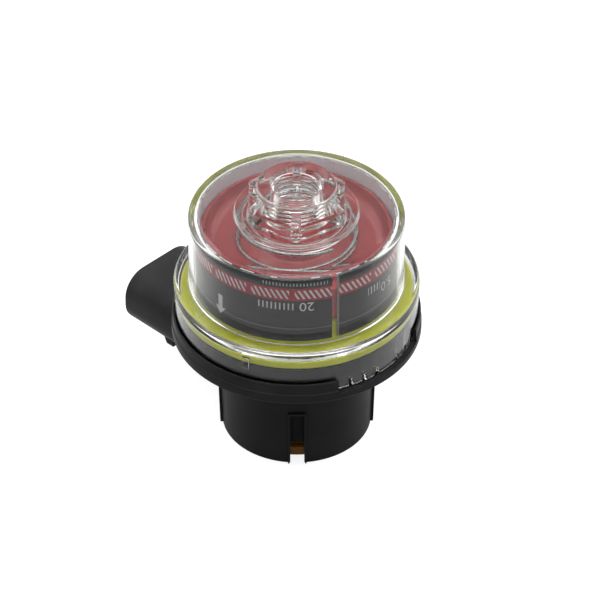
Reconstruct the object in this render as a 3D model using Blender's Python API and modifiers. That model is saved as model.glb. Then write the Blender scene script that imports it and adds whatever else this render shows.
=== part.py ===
"""Air filter restriction indicator with a switch, in metres, +Z up.

It stands on the rim of its slotted skirt, with the threaded boss on top and the
connector along -X. The origin is on the ground, under the middle of its box.
All turned pieces share one vertical axis, which the empty body_axis marks.
"""

import math

import bmesh
import bpy
from mathutils import Matrix, Vector

MM = 0.001

# Clearance between pieces, reach of a cutting tool past what it cuts, roundings
CLEAR = 0.3 * MM
OVERSHOOT = 1.0 * MM
FINE_ROUND = 0.2 * MM
SMALL_ROUND = 0.3 * MM
INNER_ROUND = 0.4 * MM
SOFT_ROUND = 0.6 * MM
ROLL_ROUND = 1.2 * MM

# Black base: skirt, flange, lip and seat
SKIRT_FOOT_RADIUS = 14.5 * MM
SKIRT_DRAFT = 0.7 * MM
SKIRT_WALL = 1.1 * MM
FILTER_SPACE = 4.3 * MM
FLOOR_THICKNESS = 1.7 * MM
LIP_HEIGHT = 2.85 * MM
LIP_WALL = 0.45 * MM
LIP_STEP_HEIGHT = 0.5 * MM
LIP_STEP = 0.15 * MM
SEAT_HEIGHT = 5.4 * MM
SEAT_THICKNESS = 1.2 * MM
SEAT_WALL = 1.35 * MM
TOWER_WALL = 1.5 * MM
WINDOW_CENTRE = math.radians(1.0)
WINDOW_HALF_ANGLE = math.radians(26.9)
WINDOW_DEPTH = 0.15 * MM
VENT_HOLE_RADIUS = 0.6 * MM

# Slots in the skirt, each in a raised frame
SLOT_ANGLES = [math.radians(angle) for angle in (-135, -45, 45, 135)]
SLOT_WIDTH = 2.7 * MM
SLOT_HEIGHT = 12.45 * MM
SLOT_FLARE = 0.9 * MM
FRAME_WIDTH = 0.45 * MM
FRAME_HEIGHT = 0.5 * MM

# Inner tube of the base
TUBE_WALL = 1.0 * MM
TUBE_GAP = 0.6 * MM
TUBE_SHOULDER_WIDTH = 0.6 * MM

# Connector shroud and its blades
CONNECTOR_REACH = 38.5 * MM
CONNECTOR_WIDTH = 18.3 * MM
CONNECTOR_DEPTH = 11.6 * MM
CONNECTOR_DROP = 2.6 * MM
CONNECTOR_CORNER = 5.0 * MM
CONNECTOR_WALL = 1.3 * MM
SOCKET_DEPTH = 17.0 * MM
RAMP_WIDTH = 2.4 * MM
RAMP_LENGTH = 3.0 * MM
RAMP_DROP = 0.6 * MM
RAMP_DISTANCE = 11.5 * MM
BLADE_WIDTH = 2.8 * MM
BLADE_THICKNESS = 0.8 * MM
BLADE_SPACING = 8.4 * MM
BLADE_RECESS = 1.5 * MM
BLADE_TIP_CHAMFER = 0.7 * MM

# Clear housing
CUP_RADIUS = 20.75 * MM
CUP_WALL = 1.35 * MM
CUP_HEIGHT = 17.1 * MM
CUP_EDGE = 1.0 * MM
ROOF_THICKNESS = 1.2 * MM
SHOULDER_THICKNESS = 1.0 * MM
SHOULDER_EDGE = 0.8 * MM
RIM_FLARE = 2.5 * MM
RIM_DRAFT = 0.45 * MM
RIM_WALL = 0.95 * MM
PAD_MARGIN = 1.33 * MM
PAD_HEIGHT = 0.7 * MM
HEX_ACROSS_FLATS = 18.3 * MM
HEX_TURN = math.radians(-46)
BOSS_HEIGHT = 6.6 * MM
BORE_RADIUS = 4.7 * MM
BORE_CHAMFER = 0.6 * MM
HEX_CHAMFER = 1.0 * MM
GUIDE_HEIGHT = 1.2 * MM
GUIDE_WALL = 0.8 * MM
NOTCH_PITCH = math.radians(7.3)
NOTCH_CENTRE = math.radians(2.8)
NOTCH_INDEXES = (-3, -2, -1, 1, 2, 3)
NOTCH_WIDTH = 0.92 * MM
NOTCH_HEIGHT = 1.9 * MM
PIP_ANGLE = math.radians(-69.5)
PIP_WIDTH = 1.5 * MM
PIP_HEIGHT = 2.6 * MM
PIP_PROUD = 0.3 * MM

# Label sleeve
LABEL_THICKNESS = 0.2 * MM
LABEL_FOOT = 0.7 * MM
LABEL_GAP = math.radians(5.0)
LABEL_GAP_ANGLE = math.radians(-23.2)

# Diaphragm, red cup and what clamps them
BEAD_HEIGHT = 2.0 * MM
DIAPHRAGM_THICKNESS = 0.5 * MM
PUSH_NUT_RADIUS = 4.4 * MM
PUSH_NUT_THICKNESS = 0.4 * MM
RETAINER_THICKNESS = 1.3 * MM
NUT_RECESS_MARGIN = 1.0 * MM
PISTON_GAP = 3.0 * MM
PISTON_WALL = 1.1 * MM
PISTON_HEIGHT = 5.9 * MM
ROLL_HEIGHT = 2.4 * MM
CUP_FLOOR = 1.2 * MM
RED_WALL = 0.85 * MM
RED_RIM_HEIGHT = 3.6 * MM
BOWL_ROUND = 2.8 * MM
HUB_RADIUS = 4.8 * MM
HUB_RISE = 2.2 * MM
HUB_ROOF = 1.2 * MM
SPRING_INSET = 4.6 * MM
SPRING_WIRE = 0.8 * MM
SPRING_TURNS = 2.0
SPRING_FLAT_TURNS = 0.45
SPRING_START = math.radians(-7.5)

# Stem, latch and switch
STEM_RADIUS = 1.9 * MM
TOWER_HEIGHT = 8.5 * MM
TOOTH_TIP_RADIUS = 2.1 * MM
TOOTH_ROOT_RADIUS = 1.5 * MM
TOOTH_PITCH = 0.6 * MM
TOOTH_COUNT = 6
LATCH_THICKNESS = 0.4 * MM
SLIT_WIDTH = 0.5 * MM
COVER_THICKNESS = 1.4 * MM
COVER_WALL = 0.8 * MM
CARRIER_FLANGE = 1.0 * MM
CARRIER_BODY = 2.4 * MM
BLADE_PAD_LENGTH = 1.0 * MM
LEAF_THICKNESS = 0.3 * MM
LEAF_WIDTH = 1.9 * MM
LEAF_RISE = 2.4 * MM
LEAF_TIP_REACH = 1.5 * MM
RING_WALL = 1.2 * MM
RING_HEIGHT = 1.2 * MM
RING_DROP = 0.4 * MM
BLADE_LIFT = 1.3 * MM
BLADE_INNER_INSET = 4.8 * MM
RIVET_RADIUS = 0.45 * MM
RIVET_HEAD_RADIUS = 0.85 * MM
RIVET_HEAD_HEIGHT = 0.45 * MM
RIVET_INSET = 2.2 * MM
LEAF_TAIL = 0.7 * MM

# Reset button and its spring
BUTTON_GROUND_GAP = 0.5 * MM
BUTTON_FACE = 2.1 * MM
BUTTON_TRAVEL = 1.0 * MM
BUTTON_SLEEVE_WALL = 1.0 * MM
BUTTON_SLEEVE_HEIGHT = 6.0 * MM
BUTTON_SIDE_GAP = 0.5 * MM
BUTTON_DISH = 0.4 * MM
SPRING_SEAT_HEIGHT = 1.0 * MM
HOOK_WIDTH = 3.0 * MM
HOOK_HEIGHT = 1.0 * MM
HOOK_REACH = 0.8 * MM
HOOK_DROP = 2.2 * MM
PRONG_RADIUS = 0.9 * MM
PRONG_SHIFT = 0.2 * MM
BUTTON_SPRING_INSET = 2.2 * MM
BUTTON_SPRING_WIRE = 0.6 * MM
BUTTON_SPRING_TURNS = 4.0
BUTTON_SPRING_FLAT_TURNS = 0.8

# Facets
ROUND_STEPS = 40
MEDIUM_STEPS = 28
SMALL_STEPS = 16
ARC_STEPS = 2
COIL_STEPS = 14

# Levels, from the ground up
BUTTON_TOP = BUTTON_GROUND_GAP + BUTTON_FACE
TUBE_FOOT = BUTTON_TOP + BUTTON_TRAVEL + CLEAR
SLEEVE_TOP = BUTTON_TOP + BUTTON_SLEEVE_HEIGHT
HOOK_FOOT = SLEEVE_TOP - HOOK_DROP
CARRIER_FOOT = SLEEVE_TOP + BUTTON_TRAVEL + CLEAR
TUBE_SHOULDER = CARRIER_FOOT + CARRIER_FLANGE + CLEAR
CARRIER_TOP = TUBE_SHOULDER - CLEAR + CARRIER_BODY
BLADE_FOOT = CARRIER_TOP + BLADE_LIFT
BLADE_TOP = BLADE_FOOT + BLADE_THICKNESS
LEAF_FOOT = BLADE_TOP + CLEAR
CONNECTOR_HEIGHT = BLADE_FOOT + BLADE_THICKNESS / 2
STEM_FOOT = CARRIER_FOOT + 2 * CLEAR
RING_FOOT = CONNECTOR_HEIGHT - RING_DROP
RING_TOP = RING_FOOT + RING_HEIGHT
SHROUD_MIDDLE = CONNECTOR_HEIGHT - CONNECTOR_DROP
SHROUD_TOP = SHROUD_MIDDLE + CONNECTOR_DEPTH / 2
SKIRT_HEIGHT = SHROUD_TOP + FILTER_SPACE
LATCH_TOP = SKIRT_HEIGHT - CLEAR
LATCH_FOOT = LATCH_TOP - LATCH_THICKNESS
PRONG_TOP = LATCH_FOOT - CLEAR - BUTTON_TRAVEL
COVER_TOP = LATCH_FOOT - CLEAR
COVER_FOOT = CARRIER_TOP + CLEAR
FLOOR_TOP = SKIRT_HEIGHT + FLOOR_THICKNESS
LIP_TOP = FLOOR_TOP + LIP_HEIGHT
SEAT_TOP = FLOOR_TOP + SEAT_HEIGHT
BEAD_FOOT = SEAT_TOP + CLEAR
BEAD_TOP = BEAD_FOOT + BEAD_HEIGHT
SHOULDER_UNDERSIDE = BEAD_TOP + CLEAR
SHOULDER_TOP = SHOULDER_UNDERSIDE + SHOULDER_THICKNESS
CUP_TOP = SHOULDER_TOP + CUP_HEIGHT
CEILING = CUP_TOP - ROOF_THICKNESS
PAD_TOP = CUP_TOP + PAD_HEIGHT
BOSS_TOP = CUP_TOP + BOSS_HEIGHT
RIM_FOOT = FLOOR_TOP + CLEAR
TOWER_TOP = FLOOR_TOP + TOWER_HEIGHT
NUT_FOOT = TOWER_TOP + CLEAR
RETAINER_FOOT = NUT_FOOT + PUSH_NUT_THICKNESS + CLEAR
RETAINER_TOP = RETAINER_FOOT + RETAINER_THICKNESS
WEB_FOOT = RETAINER_TOP + CLEAR
WEB_TOP = WEB_FOOT + DIAPHRAGM_THICKNESS
PISTON_FOOT = WEB_TOP + CLEAR
ROLL_TOP = WEB_TOP + ROLL_HEIGHT
RED_FOOT = ROLL_TOP + CLEAR
BOWL_FLOOR = PISTON_FOOT + PISTON_HEIGHT
HUB_SOCKET_TOP = BOWL_FLOOR + HUB_RISE - HUB_ROOF
RED_TOP = BOWL_FLOOR + RED_RIM_HEIGHT

# Radii, from the outside in
CUP_INNER = CUP_RADIUS - CUP_WALL
RIM_RADIUS = CUP_RADIUS + RIM_FLARE
SHOULDER_RADIUS = RIM_RADIUS + RIM_DRAFT
RIM_INNER = RIM_RADIUS - RIM_WALL
LIP_INNER = RIM_RADIUS + CLEAR
LIP_RADIUS = LIP_INNER + LIP_WALL
FLANGE_RADIUS = LIP_RADIUS + LIP_STEP
SEAT_RADIUS = RIM_INNER - CLEAR
SEAT_INNER = CUP_INNER - CLEAR
BEAD_INNER = SEAT_INNER + CLEAR
LABEL_OUTER = CUP_INNER - CLEAR
LABEL_INNER = LABEL_OUTER - LABEL_THICKNESS
RED_RADIUS = LABEL_INNER - CLEAR
PISTON_RADIUS = RED_RADIUS - PISTON_GAP
SPRING_RADIUS = PISTON_RADIUS - SPRING_INSET
HEX_CORNER = HEX_ACROSS_FLATS / math.sqrt(3)
PAD_RADIUS = HEX_CORNER + PAD_MARGIN
STEM_BORE = TOOTH_TIP_RADIUS + 2 * CLEAR
STEM_HOLE = STEM_RADIUS + CLEAR
TOWER_RADIUS = STEM_BORE + TOWER_WALL
SKIRT_TOP_RADIUS = SKIRT_FOOT_RADIUS + SKIRT_DRAFT
TUBE_RADIUS = SKIRT_FOOT_RADIUS - SKIRT_WALL - TUBE_GAP
TUBE_INNER = TUBE_RADIUS - TUBE_WALL
TUBE_NARROW = TUBE_INNER - TUBE_SHOULDER_WIDTH
SLEEVE_RADIUS = TUBE_INNER - CLEAR
BUTTON_RADIUS = SKIRT_FOOT_RADIUS - SKIRT_WALL - BUTTON_SIDE_GAP
BLADE_INNER_END = TUBE_NARROW - BLADE_INNER_INSET
RING_INNER = STEM_RADIUS + CLEAR
RING_RADIUS = RING_INNER + RING_WALL
LEAF_OFFSET = RING_RADIUS + CLEAR + LEAF_WIDTH / 2
PRONG_OFFSET = (LEAF_OFFSET + LEAF_WIDTH / 2 + TUBE_NARROW) / 2 - PRONG_SHIFT
BUTTON_SPRING_RADIUS = PRONG_OFFSET - BUTTON_SPRING_INSET
AXIS_X = (CONNECTOR_REACH - FLANGE_RADIUS) / 2


def skirt_radius(height):
    """Outer radius of the drafted skirt at a height."""
    share = height / SKIRT_HEIGHT
    return SKIRT_FOOT_RADIUS + (SKIRT_TOP_RADIUS - SKIRT_FOOT_RADIUS) * share


def start_empty():
    """Remove what the scene holds."""
    for thing in list(bpy.data.objects):
        bpy.data.objects.remove(thing, do_unlink=True)


def collection(name):
    """A new collection in the scene."""
    made = bpy.data.collections.new(name)
    bpy.context.scene.collection.children.link(made)
    return made


def finish(name, colour, roughness, metallic=0.0, alpha=1.0):
    """A plain Principled material."""
    made = bpy.data.materials.new(name)
    made.use_nodes = True
    shader = made.node_tree.nodes["Principled BSDF"]
    shader.inputs["Base Color"].default_value = (*colour, 1.0)
    shader.inputs["Roughness"].default_value = roughness
    shader.inputs["Metallic"].default_value = metallic
    shader.inputs["Alpha"].default_value = alpha
    return made


def place(thing, group, material=None):
    """Put an object in its collection, on the body axis, with its material."""
    group.objects.link(thing)
    thing.parent = BODY_AXIS
    if material:
        thing.data.materials.append(material)
    return thing


def make_cutter(thing):
    """Keep an object as a tool only."""
    thing.hide_render = True
    thing.display_type = "WIRE"
    return thing


def rounded_path(corners, closed):
    """Points through (r, z, radius) corners, with an arc at each rounded one."""
    points = []
    last = len(corners) - 1
    for index, (across, up, radius) in enumerate(corners):
        corner = Vector((across, up))
        if radius == 0 or (not closed and index in (0, last)):
            points.append(corner)
            continue
        before = (Vector(corners[index - 1][:2]) - corner).normalized()
        after = (Vector(corners[(index + 1) % len(corners)][:2]) - corner).normalized()
        half = before.angle(after) / 2
        centre = corner + (before + after).normalized() * radius / math.sin(half)
        start = corner + before * radius / math.tan(half) - centre
        end = corner + after * radius / math.tan(half) - centre
        sweep = start.angle(end)
        for step in range(ARC_STEPS + 1):
            part = sweep * step / ARC_STEPS
            points.append(centre + (start * math.sin(sweep - part) + end * math.sin(part)) / math.sin(sweep))
    return points


def turned(name, corners, group, material=None, closed=True, steps=ROUND_STEPS, angle=math.tau):
    """A turned piece: its section runs down the outer side, then up the inner side."""
    points = rounded_path(corners, closed)
    count = len(points)
    edges = [(index, index + 1) for index in range(count - 1)]
    if closed:
        edges.append((count - 1, 0))
    mesh = bpy.data.meshes.new(name)
    mesh.from_pydata([(point.x, 0, point.y) for point in points], edges, [])
    thing = place(bpy.data.objects.new(name, mesh), group, material)
    screw = thing.modifiers.new("turn", "SCREW")
    screw.angle = angle
    screw.steps = steps
    screw.render_steps = steps
    screw.use_merge_vertices = True
    screw.merge_threshold = 0.00001
    return thing


def slab_mesh(name, outline, thickness):
    """A closed mesh: a flat outline in XY, centred on its thickness in Z."""
    curve = bpy.data.curves.new(name, "CURVE")
    curve.dimensions = "2D"
    curve.fill_mode = "BOTH"
    curve.extrude = thickness / 2
    spline = curve.splines.new("POLY")
    spline.points.add(len(outline) - 1)
    for point, (across, up) in zip(spline.points, outline):
        point.co = (across, up, 0, 1)
    spline.use_cyclic_u = True
    holder = bpy.data.objects.new(name, curve)
    bpy.context.scene.collection.objects.link(holder)
    bpy.context.view_layer.update()
    mesh = bpy.data.meshes.new_from_object(holder.evaluated_get(bpy.context.evaluated_depsgraph_get()))
    bpy.data.objects.remove(holder, do_unlink=True)
    shape = bmesh.new()
    shape.from_mesh(mesh)
    bmesh.ops.remove_doubles(shape, verts=shape.verts, dist=0.000001)
    bmesh.ops.recalc_face_normals(shape, faces=shape.faces)
    shape.to_mesh(mesh)
    shape.free()
    return mesh


def slabs(name, outline, thickness, turns, group, material=None):
    """One object of equal slabs, each put in place by a matrix."""
    single = slab_mesh(name, outline, thickness)
    shape = bmesh.new()
    for turn in turns:
        start = len(shape.verts)
        shape.from_mesh(single)
        shape.verts.ensure_lookup_table()
        bmesh.ops.transform(shape, matrix=turn, verts=shape.verts[start:])
    mesh = bpy.data.meshes.new(name)
    shape.to_mesh(mesh)
    shape.free()
    return place(bpy.data.objects.new(name, mesh), group, material)


def facing(angle, distance):
    """Turn a slab so that its outline faces out at an angle, at a distance from the axis."""
    upright = Matrix(((0, 0, 1, 0), (1, 0, 0, 0), (0, 1, 0, 0), (0, 0, 0, 1)))
    return Matrix.Rotation(angle, 4, "Z") @ Matrix.Translation((distance, 0, 0)) @ upright


def radial(name, outline, inner, outer, angles, group):
    """Slabs that stand through a wall, from an inner to an outer radius."""
    turns = [facing(angle, (inner + outer) / 2) for angle in angles]
    return slabs(name, outline, outer - inner, turns, group)


def rectangle(width, bottom, top):
    """A rectangle about the vertical line, from bottom to top."""
    half = width / 2
    return [(-half, bottom), (half, bottom), (half, top), (-half, top)]


def round_rectangle(width, height, radius, steps=6):
    """A rectangle with round corners, centred on the origin."""
    points = []
    centres = ((1, 1, 0), (-1, 1, 90), (-1, -1, 180), (1, -1, 270))
    for side, level, start in centres:
        for step in range(steps + 1):
            angle = math.radians(start + 90 * step / steps)
            across = side * (width / 2 - radius) + radius * math.cos(angle)
            points.append((across, level * (height / 2 - radius) + radius * math.sin(angle)))
    return points


def arc_top(width, bottom, top, steps=6):
    """A tongue outline: straight sides and a round top."""
    radius = width / 2
    points = [(-radius, bottom), (radius, bottom)]
    for step in range(steps + 1):
        angle = math.pi * step / steps
        points.append((radius * math.cos(angle), top - radius + radius * math.sin(angle)))
    return points


def slot_outline(width, top, flare):
    """A slot open at the ground, whose mouth widens in two round corners."""
    half = width / 2
    right = []
    for step in range(5):
        angle = math.pi / 2 * step / 4
        right.append((half + flare - flare * math.sin(angle), flare - flare * math.cos(angle)))
    below = [(half + flare, -OVERSHOOT)]
    side = below + right + [(half, top)]
    return side + [(-across, up) for across, up in reversed(side)]


def rod(name, radius, bottom, top, across, along, group, top_radius=None, steps=12):
    """An upright round rod as a mesh, tapered if it has a top radius."""
    shape = bmesh.new()
    half_facet = Matrix.Rotation(math.pi / steps, 4, "Z")
    middle = Matrix.Translation((across, along, (bottom + top) / 2)) @ half_facet
    bmesh.ops.create_cone(
        shape,
        cap_ends=True,
        segments=steps,
        radius1=radius,
        radius2=top_radius or radius,
        depth=top - bottom,
        matrix=middle,
    )
    mesh = bpy.data.meshes.new(name)
    shape.to_mesh(mesh)
    shape.free()
    return place(bpy.data.objects.new(name, mesh), group)


def combine(thing, other, operation):
    """Join, cut or trim a piece with another object."""
    boolean = thing.modifiers.new(other.name, "BOOLEAN")
    boolean.operation = operation
    boolean.solver = "EXACT"
    boolean.object = make_cutter(other)


def sharpen(thing, degrees=35):
    """Smooth shading with sharp edges, on the finished surface."""
    thing.data.shade_smooth()
    thing.data.set_sharp_from_angle(angle=math.radians(degrees))


def coil(name, radius, wire, levels, winding, group, material):
    """A compression spring between two levels: its turns, flat turns an end and start."""
    bottom, top = levels
    turns, flat, start = winding
    count = round(turns * COIL_STEPS)
    low = bottom + wire / 2
    high = top - wire / 2
    flat_rise = wire * 1.08 * flat
    curve = bpy.data.curves.new(name, "CURVE")
    curve.dimensions = "3D"
    curve.bevel_depth = wire / 2
    curve.bevel_resolution = 2
    curve.use_fill_caps = True
    spline = curve.splines.new("POLY")
    spline.points.add(count)
    for index, point in enumerate(spline.points):
        turn = turns * index / count
        if turn < flat:
            height = low + flat_rise * turn / flat
        elif turn > turns - flat:
            height = high - flat_rise * (turns - turn) / flat
        else:
            share = (turn - flat) / (turns - 2 * flat)
            height = low + flat_rise + (high - low - 2 * flat_rise) * share
        angle = start + math.tau * turn
        point.co = (radius * math.cos(angle), radius * math.sin(angle), height, 1)
    return place(bpy.data.objects.new(name, curve), group, material)


def base_section():
    """Section of the base: seat, lip, flange, skirt, tube, tower and floor."""
    skirt_inner_top = SKIRT_TOP_RADIUS - SKIRT_WALL
    return [
        (SEAT_RADIUS, SEAT_TOP, FINE_ROUND),
        (SEAT_RADIUS, FLOOR_TOP, 0),
        (LIP_INNER, FLOOR_TOP, 0),
        (LIP_INNER, LIP_TOP, 0),
        (LIP_RADIUS, LIP_TOP, FINE_ROUND),
        (LIP_RADIUS, FLOOR_TOP + LIP_STEP_HEIGHT, 0),
        (FLANGE_RADIUS, FLOOR_TOP + LIP_STEP_HEIGHT, 0),
        (FLANGE_RADIUS, SKIRT_HEIGHT, INNER_ROUND),
        (SKIRT_TOP_RADIUS, SKIRT_HEIGHT, SOFT_ROUND),
        (SKIRT_FOOT_RADIUS, 0, SMALL_ROUND),
        (SKIRT_FOOT_RADIUS - SKIRT_WALL, 0, 0),
        (skirt_inner_top, SKIRT_HEIGHT, 0),
        (TUBE_RADIUS, SKIRT_HEIGHT, 0),
        (TUBE_RADIUS, TUBE_FOOT, 0),
        (TUBE_INNER, TUBE_FOOT, 0),
        (TUBE_INNER, TUBE_SHOULDER, 0),
        (TUBE_NARROW, TUBE_SHOULDER, 0),
        (TUBE_NARROW, SKIRT_HEIGHT, 0),
        (STEM_BORE, SKIRT_HEIGHT, 0),
        (STEM_BORE, TOWER_TOP, 0),
        (TOWER_RADIUS, TOWER_TOP, 0),
        (TOWER_RADIUS, FLOOR_TOP, 0),
        (SEAT_RADIUS - SEAT_WALL, FLOOR_TOP, 0),
        (SEAT_RADIUS - SEAT_WALL, SEAT_TOP - SEAT_THICKNESS, 0),
        (SEAT_INNER, SEAT_TOP - SEAT_THICKNESS, 0),
        (SEAT_INNER, SEAT_TOP, 0),
    ]


def connector_slab(name, inset, near, far, group):
    """A length of the connector's round rectangle along -X, from near to far."""
    outline = round_rectangle(
        CONNECTOR_WIDTH - 2 * inset,
        CONNECTOR_DEPTH - 2 * inset,
        CONNECTOR_CORNER - inset,
    )
    lift = Matrix.Translation((0, 0, SHROUD_MIDDLE))
    turn = lift @ facing(math.pi, (near + far) / 2)
    return slabs(name, outline, far - near, [turn], group)


def lock_ramps(group):
    """Two small ramps under the shroud that a plug's latch snaps over."""
    start = CONNECTOR_REACH - RAMP_DISTANCE
    under = SHROUD_MIDDLE - CONNECTOR_DEPTH / 2
    inside = under + CONNECTOR_WALL * 1.5
    outline = [
        (start, inside),
        (start, under - RAMP_DROP),
        (start + RAMP_LENGTH * 0.3, under - RAMP_DROP),
        (start + RAMP_LENGTH, under),
        (start + RAMP_LENGTH, inside),
    ]
    lay = Matrix(((-1, 0, 0, 0), (0, 0, 1, 0), (0, 1, 0, 0), (0, 0, 0, 1)))
    offset = CONNECTOR_WIDTH / 2 - CONNECTOR_CORNER + RAMP_WIDTH * 0.25
    turns = [Matrix.Translation((0, side * offset, 0)) @ lay for side in (-1, 1)]
    return slabs("lock_ramps", outline, RAMP_WIDTH, turns, group)


def slot_frames(group):
    """Raised frames round the skirt's slots, which follow the skirt's draft."""
    wall = [
        (SKIRT_TOP_RADIUS + FRAME_HEIGHT, SKIRT_HEIGHT, 0),
        (SKIRT_FOOT_RADIUS + FRAME_HEIGHT, 0, SMALL_ROUND),
        (SKIRT_FOOT_RADIUS - SKIRT_WALL / 2, 0, 0),
        (SKIRT_TOP_RADIUS - SKIRT_WALL / 2, SKIRT_HEIGHT, 0),
    ]
    frames = turned("slot_frames", wall, group)
    outline = rectangle(SLOT_WIDTH + 2 * FRAME_WIDTH, -OVERSHOOT, SLOT_HEIGHT + FRAME_WIDTH)
    inner = SKIRT_FOOT_RADIUS - 2 * SKIRT_WALL
    outer = SKIRT_TOP_RADIUS + 2 * FRAME_HEIGHT
    combine(frames, radial("frame_columns", outline, inner, outer, SLOT_ANGLES, group), "INTERSECT")
    return frames


def lip_window(group):
    """The stretch of the lip that is left out, over the notches."""
    inner = (SEAT_RADIUS + LIP_INNER) / 2
    outer = FLANGE_RADIUS + OVERSHOOT
    steps = 12
    outline = []
    for radius, order in ((outer, range(steps + 1)), (inner, range(steps, -1, -1))):
        for step in order:
            angle = WINDOW_CENTRE + WINDOW_HALF_ANGLE * (2 * step / steps - 1)
            outline.append((radius * math.cos(angle), radius * math.sin(angle)))
    bottom = FLOOR_TOP - WINDOW_DEPTH
    top = LIP_TOP + OVERSHOOT
    lift = Matrix.Translation((0, 0, (bottom + top) / 2))
    return slabs("lip_window", outline, top - bottom, [lift], group)


def blade_slots(group):
    """Slots that the two blades pass through, from the socket to the tube."""
    near = TUBE_NARROW - 2 * OVERSHOOT
    far = CONNECTOR_REACH - SOCKET_DEPTH + OVERSHOOT / 2
    half = BLADE_THICKNESS / 2 + CLEAR
    outline = rectangle(BLADE_WIDTH + 2 * CLEAR, -half, half)
    turns = []
    for side in (-1, 1):
        shift = Matrix.Translation((0, side * BLADE_SPACING / 2, CONNECTOR_HEIGHT))
        turns.append(shift @ facing(math.pi, (near + far) / 2))
    return slabs("blade_slots", outline, far - near, turns, group)


def hook_windows(group):
    """Windows in the tube in which the button's hooks slide."""
    top = HOOK_FOOT + HOOK_HEIGHT + BUTTON_TRAVEL + CLEAR
    outline = rectangle(HOOK_WIDTH + 2 * CLEAR, HOOK_FOOT - CLEAR, top)
    outer = TUBE_RADIUS + CLEAR
    return radial("hook_windows", outline, TUBE_INNER - OVERSHOOT, outer, (0, math.pi), group)


def vent_holes(group):
    """Four small holes that let clean air from the skirt under the diaphragm."""
    middle = (TUBE_RADIUS + SKIRT_TOP_RADIUS - SKIRT_WALL) / 2
    steps = 10
    outline = []
    for step in range(steps):
        angle = math.tau * step / steps
        outline.append((VENT_HOLE_RADIUS * math.cos(angle), VENT_HOLE_RADIUS * math.sin(angle)))
    turns = []
    for quarter in range(4):
        spin = Matrix.Rotation(math.pi / 2 * quarter, 4, "Z")
        turns.append(spin @ Matrix.Translation((middle, 0, SKIRT_HEIGHT + FLOOR_THICKNESS / 2)))
    return slabs("vent_holes", outline, 2 * FLOOR_THICKNESS, turns, group)


def base_body():
    """The black base with its skirt, tube, seat, lip and connector shroud."""
    base = turned("base_body", base_section(), PARTS, BLACK)
    root = (TUBE_RADIUS + TUBE_NARROW) / 2
    combine(base, connector_slab("connector_shroud", 0, root, CONNECTOR_REACH, TOOLS), "UNION")
    combine(base, lock_ramps(TOOLS), "UNION")
    combine(base, slot_frames(TOOLS), "UNION")
    back = CONNECTOR_REACH - SOCKET_DEPTH
    socket = connector_slab("connector_socket", CONNECTOR_WALL, back, CONNECTOR_REACH + OVERSHOOT, TOOLS)
    combine(base, socket, "DIFFERENCE")
    combine(base, blade_slots(TOOLS), "DIFFERENCE")
    combine(base, lip_window(TOOLS), "DIFFERENCE")
    outline = slot_outline(SLOT_WIDTH, SLOT_HEIGHT, SLOT_FLARE)
    inner = TUBE_RADIUS + TUBE_GAP / 2
    outer = SKIRT_TOP_RADIUS + 2 * OVERSHOOT
    combine(base, radial("skirt_slots", outline, inner, outer, SLOT_ANGLES, TOOLS), "DIFFERENCE")
    combine(base, hook_windows(TOOLS), "DIFFERENCE")
    combine(base, vent_holes(TOOLS), "DIFFERENCE")


def housing_section():
    """Section of the clear housing from the pad down the outside and up the inside."""
    guide = SPRING_RADIUS - SPRING_WIRE / 2 - CLEAR
    return [
        (0, PAD_TOP, 0),
        (PAD_RADIUS, PAD_TOP, FINE_ROUND),
        (PAD_RADIUS, CUP_TOP, 0),
        (CUP_RADIUS, CUP_TOP, CUP_EDGE),
        (CUP_RADIUS, SHOULDER_TOP, INNER_ROUND),
        (SHOULDER_RADIUS, SHOULDER_TOP, SHOULDER_EDGE),
        (RIM_RADIUS, RIM_FOOT, 0),
        (RIM_INNER, RIM_FOOT, 0),
        (SHOULDER_RADIUS - RIM_WALL, SHOULDER_UNDERSIDE, 0),
        (CUP_INNER, SHOULDER_UNDERSIDE, 0),
        (CUP_INNER, CEILING, CUP_EDGE / 2),
        (guide, CEILING, 0),
        (guide, CEILING - GUIDE_HEIGHT, 0),
        (guide - GUIDE_WALL, CEILING - GUIDE_HEIGHT, 0),
        (guide - GUIDE_WALL, CEILING, 0),
        (0, CEILING, 0),
    ]


def hex_boss(group):
    """Hexagon of the boss, its upper corners turned to a cone."""
    outline = []
    for side in range(6):
        angle = HEX_TURN + math.tau * side / 6
        outline.append((HEX_CORNER * math.cos(angle), HEX_CORNER * math.sin(angle)))
    bottom = CUP_TOP + PAD_HEIGHT / 2
    lift = Matrix.Translation((0, 0, (bottom + BOSS_TOP) / 2))
    boss = slabs("hex_boss", outline, BOSS_TOP - bottom, [lift], group)
    cone = [
        (0, BOSS_TOP + OVERSHOOT, 0),
        (HEX_CORNER - HEX_CHAMFER - OVERSHOOT, BOSS_TOP + OVERSHOOT, 0),
        (HEX_CORNER + HEX_CHAMFER, BOSS_TOP - 2 * HEX_CHAMFER, 0),
        (HEX_CORNER + HEX_CHAMFER, bottom - OVERSHOOT, 0),
        (0, bottom - OVERSHOOT, 0),
    ]
    combine(boss, turned("hex_cone", cone, group, closed=False, steps=44), "INTERSECT")
    return boss


def port_bore(group):
    """Bore through the boss and the roof, with a chamfered mouth."""
    mouth = BORE_RADIUS + BORE_CHAMFER + OVERSHOOT
    section = [
        (0, BOSS_TOP + OVERSHOOT, 0),
        (mouth, BOSS_TOP + OVERSHOOT, 0),
        (BORE_RADIUS, BOSS_TOP - BORE_CHAMFER, 0),
        (BORE_RADIUS, CEILING - OVERSHOOT, 0),
        (0, CEILING - OVERSHOOT, 0),
    ]
    return turned("port_bore", section, group, closed=False, steps=MEDIUM_STEPS)


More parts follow.
